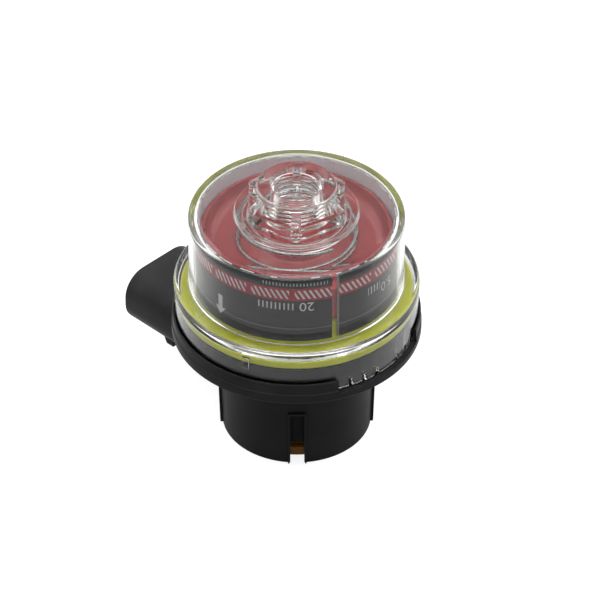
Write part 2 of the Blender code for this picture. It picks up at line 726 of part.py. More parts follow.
def clear_housing():
    """The clear cup with its threaded boss, shoulder and notched skirt."""
    housing = turned("clear_housing", housing_section(), PARTS, CLEAR_PLASTIC, closed=False)
    combine(housing, hex_boss(TOOLS), "UNION")
    combine(housing, port_bore(TOOLS), "DIFFERENCE")
    notch = arc_top(NOTCH_WIDTH, RIM_FOOT - OVERSHOOT, RIM_FOOT + NOTCH_HEIGHT)
    angles = [NOTCH_CENTRE + NOTCH_PITCH * index for index in NOTCH_INDEXES]
    inner = RIM_INNER - OVERSHOOT / 2
    outer = SHOULDER_RADIUS + OVERSHOOT / 2
    combine(housing, radial("rim_notches", notch, inner, outer, angles, TOOLS), "DIFFERENCE")
    pip_top = SHOULDER_TOP - SHOULDER_EDGE - CLEAR
    pip = rectangle(PIP_WIDTH, pip_top - PIP_HEIGHT, pip_top)
    inner = SHOULDER_RADIUS - RIM_WALL / 2
    outer = SHOULDER_RADIUS + PIP_PROUD
    combine(housing, radial("index_pip", pip, inner, outer, (PIP_ANGLE,), TOOLS), "UNION")


def data_label():
    """The label sleeve: a sheet rolled just short of a full turn."""
    middle = (LABEL_OUTER + LABEL_INNER) / 2
    section = [(middle, CEILING - CLEAR, 0), (middle, SHOULDER_TOP + LABEL_FOOT, 0)]
    sweep = math.tau - LABEL_GAP
    label = turned("data_label", section, PARTS, LABEL_WHITE, closed=False, angle=sweep)
    label.rotation_euler.z = LABEL_GAP_ANGLE + LABEL_GAP / 2
    shell = label.modifiers.new("sheet", "SOLIDIFY")
    shell.thickness = LABEL_THICKNESS
    shell.offset = 0


def rolling_diaphragm():
    """Silicone diaphragm: bead, outer wall, roll and the web under the red cup."""
    wall = DIAPHRAGM_THICKNESS
    outer = RED_RADIUS
    inner = PISTON_RADIUS + CLEAR
    link = BEAD_FOOT + BEAD_HEIGHT / 2
    section = [
        (outer, ROLL_TOP, ROLL_ROUND),
        (outer, link + wall, 0),
        (BEAD_INNER, link + wall, 0),
        (BEAD_INNER, BEAD_TOP, 0),
        (RIM_INNER, BEAD_TOP, SOFT_ROUND),
        (RIM_INNER, BEAD_FOOT, SOFT_ROUND),
        (BEAD_INNER, BEAD_FOOT, 0),
        (BEAD_INNER, link, 0),
        (outer - wall, link, 0),
        (outer - wall, ROLL_TOP - wall, ROLL_ROUND - wall),
        (inner + wall, ROLL_TOP - wall, ROLL_ROUND - wall),
        (inner + wall, WEB_FOOT, 0),
        (STEM_HOLE, WEB_FOOT, 0),
        (STEM_HOLE, WEB_TOP, 0),
        (inner, WEB_TOP, 0),
        (inner, ROLL_TOP, ROLL_ROUND),
    ]
    turned("rolling_diaphragm", section, PARTS, SILICONE, steps=MEDIUM_STEPS)


def indicator_cup():
    """The red cup: dished bowl, side wall and the piston skirt below it."""
    under = BOWL_FLOOR - CUP_FLOOR
    section = [
        (0, BOWL_FLOOR + HUB_RISE, 0),
        (HUB_RADIUS, BOWL_FLOOR + HUB_RISE, SOFT_ROUND),
        (HUB_RADIUS, BOWL_FLOOR, SOFT_ROUND),
        (RED_RADIUS - RED_WALL, BOWL_FLOOR, BOWL_ROUND),
        (RED_RADIUS - RED_WALL, RED_TOP, 0),
        (RED_RADIUS, RED_TOP, FINE_ROUND),
        (RED_RADIUS, RED_FOOT, 0),
        (RED_RADIUS - RED_WALL, RED_FOOT, 0),
        (RED_RADIUS - RED_WALL, under, 0),
        (PISTON_RADIUS, under, 0),
        (PISTON_RADIUS, PISTON_FOOT, 0),
        (PISTON_RADIUS - PISTON_WALL, PISTON_FOOT, 0),
        (PISTON_RADIUS - PISTON_WALL, under, 0),
        (HUB_RADIUS, under, 0),
        (HUB_RADIUS, PISTON_FOOT, 0),
        (STEM_HOLE, PISTON_FOOT, 0),
        (STEM_HOLE, HUB_SOCKET_TOP, 0),
        (0, HUB_SOCKET_TOP, 0),
    ]
    turned("indicator_cup", section, PARTS, RED, closed=False, steps=MEDIUM_STEPS)


def retainer_plate():
    """Plate that clamps the web of the diaphragm, with a stiffening rim."""
    section = [
        (PISTON_RADIUS, RETAINER_TOP, 0),
        (PISTON_RADIUS, RETAINER_FOOT, 0),
        (PISTON_RADIUS - PISTON_WALL, RETAINER_FOOT, 0),
        (PISTON_RADIUS - PISTON_WALL, RETAINER_FOOT + RETAINER_THICKNESS / 3, 0),
        (PUSH_NUT_RADIUS + NUT_RECESS_MARGIN, RETAINER_FOOT + RETAINER_THICKNESS / 3, 0),
        (PUSH_NUT_RADIUS + NUT_RECESS_MARGIN, RETAINER_FOOT, 0),
        (STEM_HOLE, RETAINER_FOOT, 0),
        (STEM_HOLE, RETAINER_TOP, 0),
    ]
    turned("retainer_plate", section, PARTS, WHITE_PLASTIC, steps=MEDIUM_STEPS)


def star_washer(name, radius, hole, bottom, top, slits, slit_reach, material):
    """A flat spring washer whose inner edge is slit into tongues."""
    section = [(radius, top, 0), (radius, bottom, 0), (hole, bottom, 0), (hole, top, 0)]
    washer = turned(name, section, PARTS, material, steps=24)
    outline = rectangle(SLIT_WIDTH, bottom - OVERSHOOT, top + OVERSHOOT)
    angles = [math.tau * index / slits for index in range(slits)]
    cuts = radial(name + "_slits", outline, hole / 2, slit_reach, angles, TOOLS)
    combine(washer, cuts, "DIFFERENCE")


def stem_section():
    """Section of the stem: plain shank, ratchet teeth, ring seat and guide end."""
    top = HUB_SOCKET_TOP - CLEAR
    teeth_top = SKIRT_HEIGHT + CLEAR
    points = [(0, top, 0), (STEM_RADIUS, top, 0), (STEM_RADIUS, teeth_top, 0)]
    for tooth in range(TOOTH_COUNT):
        start = teeth_top - TOOTH_PITCH * tooth
        points.append((TOOTH_ROOT_RADIUS, start, 0))
        points.append((TOOTH_TIP_RADIUS, start - TOOTH_PITCH * 0.8, 0))
        points.append((TOOTH_TIP_RADIUS, start - TOOTH_PITCH, 0))
    teeth_foot = teeth_top - TOOTH_PITCH * TOOTH_COUNT
    points += [
        (STEM_RADIUS, teeth_foot, 0),
        (STEM_RADIUS, RING_TOP + 3 * CLEAR, 0),
        (TOOTH_TIP_RADIUS + CLEAR, RING_TOP + 2 * CLEAR, 0),
        (TOOTH_TIP_RADIUS + CLEAR, RING_TOP + CLEAR, 0),
        (STEM_RADIUS, RING_TOP + CLEAR, 0),
        (STEM_RADIUS, RING_FOOT - CLEAR, 0),
        (TOOTH_TIP_RADIUS, RING_FOOT - 2 * CLEAR, 0),
        (STEM_RADIUS, RING_FOOT - 4 * CLEAR, 0),
        (STEM_RADIUS, STEM_FOOT, INNER_ROUND),
        (0, STEM_FOOT, 0),
    ]
    return points


def moving_stack():
    """What rides on the stem: stem, contact ring and push nut."""
    turned("ratchet_stem", stem_section(), PARTS, WHITE_PLASTIC, closed=False, steps=12)
    ring = [
        (RING_RADIUS, RING_TOP, 0),
        (RING_RADIUS, RING_FOOT, 0),
        (RING_INNER, RING_FOOT, 0),
        (RING_INNER, RING_TOP, 0),
    ]
    turned("contact_ring", ring, PARTS, BRASS, steps=SMALL_STEPS)
    top = NUT_FOOT + PUSH_NUT_THICKNESS
    star_washer("push_nut", PUSH_NUT_RADIUS, STEM_HOLE, NUT_FOOT, top, 6, PUSH_NUT_RADIUS * 0.7, STEEL)


def prong_holes(name, bottom, top, group):
    """Two holes that the button's prongs pass through."""
    radius = PRONG_RADIUS + CLEAR
    holes = rod(name, radius, bottom, top, 0, PRONG_OFFSET, group)
    other = holes.data.copy()
    other.transform(Matrix.Translation((0, -2 * PRONG_OFFSET, 0)))
    shape = bmesh.new()
    shape.from_mesh(holes.data)
    shape.from_mesh(other)
    shape.to_mesh(holes.data)
    shape.free()
    return holes


def latch_cover():
    """Cap under the latch clip, standing on the switch carrier."""
    radius = TUBE_NARROW - CLEAR
    hole = STEM_BORE
    under = COVER_TOP - COVER_THICKNESS
    section = [
        (radius, COVER_TOP, 0),
        (radius, COVER_FOOT, 0),
        (radius - COVER_WALL, COVER_FOOT, 0),
        (radius - COVER_WALL, under, 0),
        (hole, under, 0),
        (hole, COVER_TOP, 0),
    ]
    cover = turned("latch_cover", section, PARTS, WHITE_PLASTIC, steps=MEDIUM_STEPS)
    combine(cover, prong_holes("cover_holes", under - OVERSHOOT, COVER_TOP + OVERSHOOT, TOOLS), "DIFFERENCE")
    width = BLADE_SPACING + BLADE_WIDTH + 4 * CLEAR
    opening = rectangle(width, COVER_FOOT - OVERSHOOT, LEAF_FOOT + LEAF_THICKNESS + 3 * CLEAR)
    door = radial("cover_door", opening, radius / 2, radius + OVERSHOOT, (math.pi,), TOOLS)
    combine(cover, door, "DIFFERENCE")


def switch_carrier():
    """Insulating disc against the tube's shoulder, with a pad under each blade."""
    section = [
        (TUBE_NARROW - CLEAR, CARRIER_TOP, 0),
        (TUBE_NARROW - CLEAR, CARRIER_FOOT + CARRIER_FLANGE, 0),
        (SLEEVE_RADIUS, CARRIER_FOOT + CARRIER_FLANGE, 0),
        (SLEEVE_RADIUS, CARRIER_FOOT, 0),
        (STEM_HOLE, CARRIER_FOOT, 0),
        (STEM_HOLE, CARRIER_TOP, 0),
    ]
    carrier = turned("switch_carrier", section, PARTS, WHITE_PLASTIC, steps=MEDIUM_STEPS)
    low = CARRIER_TOP - CARRIER_BODY / 2
    outline = rectangle(BLADE_WIDTH, low, BLADE_FOOT - CLEAR)
    turns = []
    for side in (-1, 1):
        shift = Matrix.Translation((0, side * BLADE_SPACING / 2, 0))
        turns.append(shift @ facing(math.pi, BLADE_INNER_END + BLADE_PAD_LENGTH / 2))
    combine(carrier, slabs("blade_pads", outline, BLADE_PAD_LENGTH, turns, TOOLS), "UNION")
    holes = prong_holes("carrier_holes", CARRIER_FOOT - OVERSHOOT, CARRIER_TOP + OVERSHOOT, TOOLS)
    combine(carrier, holes, "DIFFERENCE")


def terminal(name, side):
    """A flat blade with a chamfered tip and a rivet hole at its inner end."""
    half = BLADE_WIDTH / 2
    tip = CONNECTOR_REACH - BLADE_RECESS
    chamfer = BLADE_TIP_CHAMFER
    middle = side * BLADE_SPACING / 2
    outline = [
        (-BLADE_INNER_END, middle - half),
        (-BLADE_INNER_END, middle + half),
        (-tip + 2 * chamfer, middle + half),
        (-tip, middle + half - chamfer),
        (-tip, middle - half + chamfer),
        (-tip + 2 * chamfer, middle - half),
    ]
    lift = Matrix.Translation((0, 0, CONNECTOR_HEIGHT))
    blade = slabs(name, outline, BLADE_THICKNESS, [lift], PARTS, TIN)
    combine(blade, rivet_hole(name, side), "DIFFERENCE")


def rivet_hole(name, side):
    """Clearance hole for a rivet."""
    reach = BLADE_INNER_END + RIVET_INSET
    low = BLADE_FOOT - OVERSHOOT
    high = LEAF_FOOT + OVERSHOOT
    return rod(name + "_hole", RIVET_RADIUS + CLEAR, low, high, -reach, side * LEAF_OFFSET, TOOLS)


def contact_leaf(name, side):
    """A springy strip: flat on its blade, then rising beside the stem."""
    flat = LEAF_FOOT + LEAF_THICKNESS / 2
    path = [
        (-BLADE_INNER_END - RIVET_INSET - LEAF_TAIL, flat),
        (-BLADE_INNER_END, flat),
        (-LEAF_TIP_REACH, flat + LEAF_RISE),
        (LEAF_TIP_REACH, flat + LEAF_RISE),
        (2 * LEAF_TIP_REACH, flat + LEAF_RISE - LEAF_THICKNESS * 2),
    ]
    near = side * LEAF_OFFSET - LEAF_WIDTH / 2
    far = side * LEAF_OFFSET + LEAF_WIDTH / 2
    points = [(across, along, up) for along in (near, far) for across, up in path]
    count = len(path)
    faces = [(index, index + 1, index + 1 + count, index + count) for index in range(count - 1)]
    mesh = bpy.data.meshes.new(name)
    mesh.from_pydata(points, [], faces)
    leaf = place(bpy.data.objects.new(name, mesh), PARTS, BRONZE)
    sheet = leaf.modifiers.new("sheet", "SOLIDIFY")
    sheet.thickness = LEAF_THICKNESS
    sheet.offset = 0
    combine(leaf, rivet_hole(name, side), "DIFFERENCE")


def rivet(name, side):
    """A rivet through strip and blade, with a head at each end."""
    low = BLADE_FOOT - CLEAR
    high = LEAF_FOOT + LEAF_THICKNESS + CLEAR
    section = [
        (0, high + RIVET_HEAD_HEIGHT, 0),
        (RIVET_HEAD_RADIUS, high + RIVET_HEAD_HEIGHT, 0),
        (RIVET_HEAD_RADIUS, high, 0),
        (RIVET_RADIUS, high, 0),
        (RIVET_RADIUS, low, 0),
        (RIVET_HEAD_RADIUS, low, 0),
        (RIVET_HEAD_RADIUS, low - RIVET_HEAD_HEIGHT, 0),
        (0, low - RIVET_HEAD_HEIGHT, 0),
    ]
    made = turned(name, section, PARTS, BRASS, closed=False, steps=12)
    made.location = (-BLADE_INNER_END - RIVET_INSET, side * LEAF_OFFSET, 0)


def reset_button():
    """The amber button: face, guide sleeve, two hooks and two release prongs."""
    inner = SLEEVE_RADIUS - BUTTON_SLEEVE_WALL
    boss = BUTTON_SPRING_RADIUS - BUTTON_SPRING_WIRE / 2 - CLEAR
    section = [
        (0, BUTTON_TOP + SPRING_SEAT_HEIGHT, 0),
        (boss, BUTTON_TOP + SPRING_SEAT_HEIGHT, 0),
        (boss, BUTTON_TOP, 0),
        (inner, BUTTON_TOP, 0),
        (inner, SLEEVE_TOP, 0),
        (SLEEVE_RADIUS, SLEEVE_TOP, SMALL_ROUND),
        (SLEEVE_RADIUS, BUTTON_TOP, 0),
        (BUTTON_RADIUS, BUTTON_TOP, SMALL_ROUND),
        (BUTTON_RADIUS, BUTTON_GROUND_GAP, SOFT_ROUND),
        (BUTTON_RADIUS * 0.72, BUTTON_GROUND_GAP, 0),
        (BUTTON_RADIUS * 0.66, BUTTON_GROUND_GAP + BUTTON_DISH, 0),
        (0, BUTTON_GROUND_GAP + BUTTON_DISH, 0),
    ]
    button = turned("reset_button", section, PARTS, AMBER, closed=False, steps=MEDIUM_STEPS)
    outline = [
        (-HOOK_WIDTH / 2, HOOK_FOOT),
        (HOOK_WIDTH / 2, HOOK_FOOT),
        (HOOK_WIDTH / 2, HOOK_FOOT + HOOK_HEIGHT),
        (-HOOK_WIDTH / 2, HOOK_FOOT + HOOK_HEIGHT),
    ]
    inside = SLEEVE_RADIUS - BUTTON_SLEEVE_WALL / 2
    outside = TUBE_INNER + HOOK_REACH
    combine(button, radial("button_hooks", outline, inside, outside, (0, math.pi), TOOLS), "UNION")
    low = BUTTON_TOP - BUTTON_FACE / 3
    for side, label in ((-1, "near"), (1, "far")):
        prong = rod(
            "prong_" + label,
            PRONG_RADIUS,
            low,
            PRONG_TOP,
            0,
            side * PRONG_OFFSET,
            TOOLS,
            top_radius=PRONG_RADIUS * 0.8,
        )
        combine(button, prong, "UNION")


def vent_filter():
    """Foam ring between tube and skirt, under the vent holes."""
    top = SKIRT_HEIGHT - CLEAR
    bottom = SHROUD_TOP + CLEAR
    inner = TUBE_RADIUS + CLEAR
    outer = skirt_radius(bottom) - SKIRT_WALL - CLEAR
    section = [(outer, top, 0), (outer, bottom, 0), (inner, bottom, 0), (inner, top, 0)]
    turned("vent_filter", section, PARTS, FOAM, steps=MEDIUM_STEPS)


def springs():
    """The calibration spring over the red cup and the spring of the button."""
    levels = (BOWL_FLOOR + CLEAR, CEILING - CLEAR)
    winding = (SPRING_TURNS, SPRING_FLAT_TURNS, SPRING_START)
    coil("calibration_spring", SPRING_RADIUS, SPRING_WIRE, levels, winding, PARTS, STEEL)
    levels = (BUTTON_TOP + CLEAR, CARRIER_FOOT - CLEAR)
    winding = (BUTTON_SPRING_TURNS, BUTTON_SPRING_FLAT_TURNS, 0)
    coil("button_spring", BUTTON_SPRING_RADIUS, BUTTON_SPRING_WIRE, levels, winding, PARTS, STEEL)


def build():
    """Make every piece."""
    base_body()
    clear_housing()
    data_label()
    rolling_diaphragm()
    indicator_cup()
    retainer_plate()
    moving_stack()
    star_washer(
        "latch_clip", TUBE_NARROW - 2 * CLEAR, STEM_BORE, LATCH_FOOT, LATCH_TOP, 6, TUBE_NARROW * 0.5, STEEL
    )
    latch_cover()
    switch_carrier()
    for name, side in (("left", 1), ("right", -1)):
        terminal("terminal_" + name, side)
        contact_leaf("contact_leaf_" + name, side)
        rivet("rivet_" + name, side)
    reset_button()
    vent_filter()
    springs()


start_empty()
PARTS = collection("air_filter_restriction_indicator")
TOOLS = collection("cutting_tools")
BODY_AXIS = bpy.data.objects.new("body_axis", None)
BODY_AXIS.location = (AXIS_X, 0, 0)
PARTS.objects.link(BODY_AXIS)

BLACK = finish("black_plastic", (0.018, 0.018, 0.02), 0.35)
CLEAR_PLASTIC = finish("clear_plastic", (0.9, 0.92, 0.9), 0.05, alpha=0.3)
LABEL_WHITE = finish("label_film", (0.8, 0.8, 0.82), 0.4)
SILICONE = finish("yellow_silicone", (0.45, 0.47, 0.05), 0.45)
RED = finish("red_plastic", (0.55, 0.02, 0.03), 0.4)
WHITE_PLASTIC = finish("natural_plastic", (0.7, 0.69, 0.64), 0.45)
STEEL = finish("spring_steel", (0.55, 0.55, 0.56), 0.25, metallic=1.0)
BRASS = finish("brass", (0.75, 0.55, 0.25), 0.3, metallic=1.0)
BRONZE = finish("bronze_strip", (0.7, 0.42, 0.25), 0.3, metallic=1.0)
TIN = finish("tinned_blade", (0.7, 0.7, 0.68), 0.3, metallic=1.0)
AMBER = finish("amber_plastic", (0.6, 0.35, 0.02), 0.3)
FOAM = finish("filter_foam", (0.1, 0.1, 0.1), 0.9)

build()
for part in PARTS.objects:
    if part.type == "MESH":
        sharpen(part)
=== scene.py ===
"""Looks of an air filter restriction indicator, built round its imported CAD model.

Sizes are in millimetres and multiplied by MM where a piece is made. Angles on the
body are in degrees from +X, seen from above.
"""

import math

import bmesh
import bpy
from mathutils import Matrix, Vector

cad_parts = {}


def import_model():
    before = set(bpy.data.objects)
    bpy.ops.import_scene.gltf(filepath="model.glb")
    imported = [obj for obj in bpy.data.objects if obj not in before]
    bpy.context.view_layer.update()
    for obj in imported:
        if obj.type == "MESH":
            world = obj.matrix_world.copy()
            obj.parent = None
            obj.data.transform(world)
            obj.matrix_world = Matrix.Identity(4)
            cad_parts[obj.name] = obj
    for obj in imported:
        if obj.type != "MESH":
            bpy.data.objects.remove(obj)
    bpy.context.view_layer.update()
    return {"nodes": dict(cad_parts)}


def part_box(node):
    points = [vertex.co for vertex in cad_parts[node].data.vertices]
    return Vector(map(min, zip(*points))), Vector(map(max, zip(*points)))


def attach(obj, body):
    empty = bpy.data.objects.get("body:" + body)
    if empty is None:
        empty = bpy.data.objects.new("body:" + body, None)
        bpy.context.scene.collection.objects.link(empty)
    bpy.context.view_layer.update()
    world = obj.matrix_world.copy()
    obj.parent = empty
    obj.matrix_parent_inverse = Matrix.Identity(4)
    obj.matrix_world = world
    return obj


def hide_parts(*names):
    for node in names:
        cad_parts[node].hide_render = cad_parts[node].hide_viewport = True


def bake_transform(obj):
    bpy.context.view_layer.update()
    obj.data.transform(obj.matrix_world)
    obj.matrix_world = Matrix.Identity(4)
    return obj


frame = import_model()

MM = 0.001
HOUSING_LOW, HOUSING_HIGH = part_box("clear_housing")
AXIS = Vector(((HOUSING_LOW[0] + HOUSING_HIGH[0]) / 2, 0, 0))
BASE_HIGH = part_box("base_body")[1]

# Camera: angles in degrees, distance in metres, the point it looks at in millimetres
CAMERA_AZIMUTH = 44.5
CAMERA_ELEVATION = 38.4
CAMERA_DISTANCE = 1.2
CAMERA_SHIFT = 0.65
CAMERA_LEVEL = 28.85
PICTURE_WIDTH = 600
PIXELS_PER_MM = 5.19
BEHIND = Matrix.Rotation(math.radians(CAMERA_AZIMUTH), 3, "Z") @ Vector((0, 1, 0))

# Levels
SKIRT_TOP = 22.5
FLOOR_TOP = 24.2
LIP_TOP = 27.05
SEAT_TOP = BASE_HIGH[2] / MM - 3.1
BEAD_FOOT = SEAT_TOP + 0.3
BEAD_TOP = BEAD_FOOT + 2.0
SHOULDER_UNDER = BEAD_TOP + 0.3
SHOULDER_TOP = SHOULDER_UNDER + 2.4
BOSS_TOP = HOUSING_HIGH[2] / MM
CUP_TOP = BOSS_TOP - 6.6
CEILING = CUP_TOP - 1.2
PAD_TOP = CUP_TOP + 0.7
RIM_FOOT = HOUSING_LOW[2] / MM
TUBE_FOOT = 3.9
TUBE_SHOULDER = 11.2
TOWER_TOP = BASE_HIGH[2] / MM
WEB_FOOT = 35.3
WEB_TOP = 35.8
ROLL_TOP = 38.2
PISTON_FOOT = 36.1
RED_FOOT = 38.5
BOWL_FLOOR = 42.0
RED_TOP = 45.6

# Radii and widths
CUP_RADIUS = 20.75
CUP_INNER = 19.4
ROOF_EDGE = 18.6
SHOULDER_RADIUS = 23.7
RIM_RADIUS = 23.25
RIM_WALL = 0.95
PAD_RADIUS = 11.9
HEX_ACROSS_FLATS = 18.3
HEX_TURN = -46
HEX_TOP = 53.9
HEX_WALL = 0.85
COLLAR_RADIUS = 7.7
THREAD_CREST = 4.4
THREAD_ROOT = 4.95
THREAD_PITCH = 0.94
LIP_INNER = 23.55
LIP_RADIUS = 24.0
FLANGE_RADIUS = 24.15
SEAT_RADIUS = 21.95
SEAT_INNER = 19.1
SKIRT_FOOT_RADIUS = 14.5
SKIRT_TOP_RADIUS = 15.2
SKIRT_WALL = 1.1
TUBE_RADIUS = 12.8
TUBE_INNER = 11.8
TUBE_NARROW = 11.2
STEM_BORE = 2.7
TOWER_RADIUS = 4.2
LABEL_RADIUS = 19.1
LABEL_THICKNESS = 0.2
LABEL_FOOT = SHOULDER_TOP - 0.2
LABEL_TOP = CEILING - 0.5
LABEL_GAP = 3.0
LABEL_GAP_ANGLE = -24.0
RED_RADIUS = 18.6
RED_WALL = 0.85
PISTON_RADIUS = 15.6
PISTON_WALL = 1.1
HUB_RADIUS = 4.8
HUB_RISE = 2.2
SPRING_RADIUS = 11.0
SPRING_WIRE = 0.8

# Print on the label: heights in millimetres, widths and steps in degrees
BAND_FOOT = 44.1
BAND_TOP = 47.0
BAND_MARGIN = 0.45
HATCH_STEP = 3.1
HATCH_WIDTH = 1.35
HATCH_LEAN = 1.6
TICK_WIDTH = 0.8
ARROW_ANGLE = -92.5
ARROW_TIP = 36.4
NUMBER_SIZE = 2.9

# Side connector
CONNECTOR_REACH = 38.5
CONNECTOR_WIDTH = 18.3
CONNECTOR_DEPTH = 11.6
CONNECTOR_CORNER = 5.0
CONNECTOR_WALL = 1.3
CONNECTOR_HEIGHT = 15.0
SHROUD_MIDDLE = 12.4
SOCKET_DEPTH = 17.0
BLADE_ASIDE = 4.2
RAMP_ASIDE = 5.95
RAMP_REACH = 28.5

# Slots and notches
SLOT_ANGLES = (-135, -45, 45, 135)
SLOT_WIDTH = 2.7
SLOT_HEIGHT = 12.45
SLOT_FLARE = 0.9
HOOK_LEVEL = 6.9
PRONG_ASIDE = 8.2
FRAME_WIDTH = 0.45
FRAME_HEIGHT = 0.5
WINDOW_CENTRE = 1.0
WINDOW_HALF = 26.9
NOTCH_ANGLES = [2.8 + 7.3 * index for index in (-3, -2, -1, 1, 2, 3)]
NOTCH_WIDTH = 0.92
NOTCH_HEIGHT = 1.9
PIP_ANGLE = -69.5

# Glow of the floor and the world, by the kind of ray that meets them
FLOOR_SEEN = 0.85
FLOOR_THROUGH = 0.3
FLOOR_MIRRORED = 0.45
WORLD_FRONT = 0.25
WORLD_BEHIND = 0.85
WORLD_THROUGH = 0.34

# Smoothness
ROUND = 128
HOUSING_STEPS = 216
FINE = 96
WIRE_SIDES = 14


def deselect():
    """Leave edit mode and select nothing."""
    if bpy.context.object and bpy.context.object.mode != "OBJECT":
        bpy.ops.object.mode_set(mode="OBJECT")
    bpy.ops.object.select_all(action="DESELECT")


def edit(piece):
    """Open one piece for editing."""
    deselect()
    piece.select_set(True)
    bpy.context.view_layer.objects.active = piece
    bpy.ops.object.mode_set(mode="EDIT")
    bpy.ops.mesh.select_mode(type="VERT")
    bpy.ops.mesh.select_all(action="SELECT")


def close():
    """Back to object mode."""
    bpy.ops.object.mode_set(mode="OBJECT")


def pick(kind, test):
    """In edit mode, select only the vertices, edges or faces that pass a test."""
    modes = {"verts": "VERT", "edges": "EDGE", "faces": "FACE"}
    bpy.ops.mesh.select_mode(type=modes[kind])
    bpy.ops.mesh.select_all(action="DESELECT")
    shape = bmesh.from_edit_mesh(bpy.context.object.data)
    for item in getattr(shape, kind):
        if test(item):
            item.select_set(True)
    shape.select_flush_mode()
    bmesh.update_edit_mesh(bpy.context.object.data)


def centre_of(edge):
    """Middle of an edge, from the body axis, in millimetres."""
    return ((edge.verts[0].co + edge.verts[1].co) / 2 - AXIS) / MM


def run_of(edge):
    """Direction of an edge."""
    return (edge.verts[1].co - edge.verts[0].co).normalized()


def place(across, along, up):
    """A point given in millimetres from the body axis."""
    return AXIS + Vector((across, along, up)) * MM


def started(name):
    """Name the new primitive and put its place in its mesh."""
    piece = bpy.context.object
    piece.name = name
    piece.data.name = name
    bpy.ops.object.transform_apply(location=True, rotation=True, scale=True)
    return piece


def block(name, size, centre):
    """A box to shape further, in millimetres from the body axis."""
    deselect()
    bpy.ops.mesh.primitive_cube_add(size=MM, location=place(*centre), scale=size)
    return started(name)


def disc(name, radius, height, centre, steps=48):
    """An upright drum to shape further."""
    deselect()
    bpy.ops.mesh.primitive_cylinder_add(
        vertices=steps, radius=radius * MM, depth=height * MM, location=place(*centre)
    )
    return started(name)


def bevel(test, width, segments=3, affect="EDGES"):
    """Round the edges or corners that pass a test, in edit mode."""
    pick("edges" if affect == "EDGES" else "verts", test)
    bpy.ops.mesh.bevel(offset=width * MM, segments=segments, affect=affect, clamp_overlap=True)


def turn_copy(piece, degrees, name):
    """A copy with its own mesh, turned about the body axis."""
    copy = piece.copy()
    copy.data = piece.data.copy()
    copy.name = name
    turn = Matrix.Translation(AXIS) @ Matrix.Rotation(math.radians(degrees), 4, "Z")
    copy.data.transform(turn @ Matrix.Translation(-AXIS))
    bpy.context.scene.collection.objects.link(copy)
    return copy


def near(spots):
    """A test for the vertices that lie on one of these places."""
    return lambda vert: min((vert.co - spot).length for spot in spots) < 0.001 * MM


def drawn(name, corners, closed):
    """Draw a line through (place, rounding) corners, one by one, and round them."""
    deselect()
    bpy.ops.mesh.primitive_plane_add(size=MM, location=corners[0][0])
    piece = started(name)
    bpy.ops.object.mode_set(mode="EDIT")
    bpy.ops.mesh.select_mode(type="VERT")
    bpy.ops.mesh.select_all(action="SELECT")
    bpy.ops.mesh.merge(type="CENTER")
    for before, after in zip(corners, corners[1:]):
        step = tuple(after[0] - before[0])
        bpy.ops.mesh.extrude_region_move(TRANSFORM_OT_translate={"value": step})
    if closed:
        pick("verts", near([corners[0][0], corners[-1][0]]))
        bpy.ops.mesh.edge_face_add()
    for width in sorted({corner[1] for corner in corners if corner[1]}):
        spots = [corner[0] for corner in corners if corner[1] == width]
        bevel(near(spots), width, segments=5, affect="VERTICES")
    return piece


def section(name, corners, closed):
    """A section beside the axis, through (radius, height, rounding) corners."""
    return drawn(name, [(place(far, 0, up), width) for far, up, width in corners], closed)


def slab(name, corners, push, angle):
    """Fill a drawn outline, give it its thickness and turn it about the body axis."""
    piece = drawn(name, corners, True)
    bpy.ops.mesh.select_mode(type="VERT")
    bpy.ops.mesh.select_all(action="SELECT")
    bpy.ops.mesh.edge_face_add()
    bpy.ops.mesh.select_mode(type="FACE")
    bpy.ops.mesh.select_all(action="SELECT")
    bpy.ops.mesh.extrude_region_move(TRANSFORM_OT_translate={"value": push})
    bpy.ops.mesh.select_all(action="SELECT")
    bpy.ops.mesh.normals_make_consistent(inside=False)
    bpy.ops.transform.rotate(value=-math.radians(angle), orient_axis="Z", center_override=AXIS)
    close()
    return piece


def plate(name, corners, inner, outer, angle):
    """A slab with an outline that faces out, from an inner to an outer radius."""
    outline = [(place(inner, along, up), width) for along, up, width in corners]
    return slab(name, outline, ((outer - inner) * MM, 0, 0), angle)


def gusset(name, corners, thickness, angle):
    """An upright rib that runs outwards, drawn in its own plane."""
    outline = [(place(far, -thickness / 2, up), width) for far, up, width in corners]
    return slab(name, outline, (0, thickness * MM, 0), angle)


def turned(name, corners, closed=True, steps=ROUND, sweep=360, start=0):
    """A turned piece: its section spun about the body axis."""
    piece = section(name, corners, closed)
    bpy.ops.mesh.select_all(action="SELECT")
    if start:
        bpy.ops.transform.rotate(
            value=-math.radians(start), orient_axis="Z", center_override=AXIS
        )
    full = sweep == 360
    if not full:
        pick("edges", lambda edge: True)
        bpy.ops.mesh.edge_face_add()
    bpy.ops.mesh.spin(
        steps=steps, angle=-math.radians(sweep), center=AXIS, axis=(0, 0, 1), use_auto_merge=full
    )
    bpy.ops.mesh.select_all(action="SELECT")
    bpy.ops.mesh.remove_doubles(threshold=0.002 * MM)
    bpy.ops.mesh.normals_make_consistent(inside=False)
    close()
    return piece


def combine(piece, tools, operation="DIFFERENCE"):
    """Cut, join or trim a piece with tools, which are used up."""
    for tool in tools:
        boolean = piece.modifiers.new("combine", "BOOLEAN")
        boolean.operation = operation
        boolean.solver = "EXACT"
        boolean.object = tool
        deselect()
        piece.select_set(True)
        bpy.context.view_layer.objects.active = piece
        bpy.ops.object.modifier_apply(modifier=boolean.name)
        bpy.data.objects.remove(tool)
    return piece


def smooth(piece, degrees=35):
    """Smooth shading with sharp edges past an angle."""
    deselect()
    piece.select_set(True)
    bpy.context.view_layer.objects.active = piece
    bpy.ops.object.shade_smooth_by_angle(angle=math.radians(degrees))
    return piece


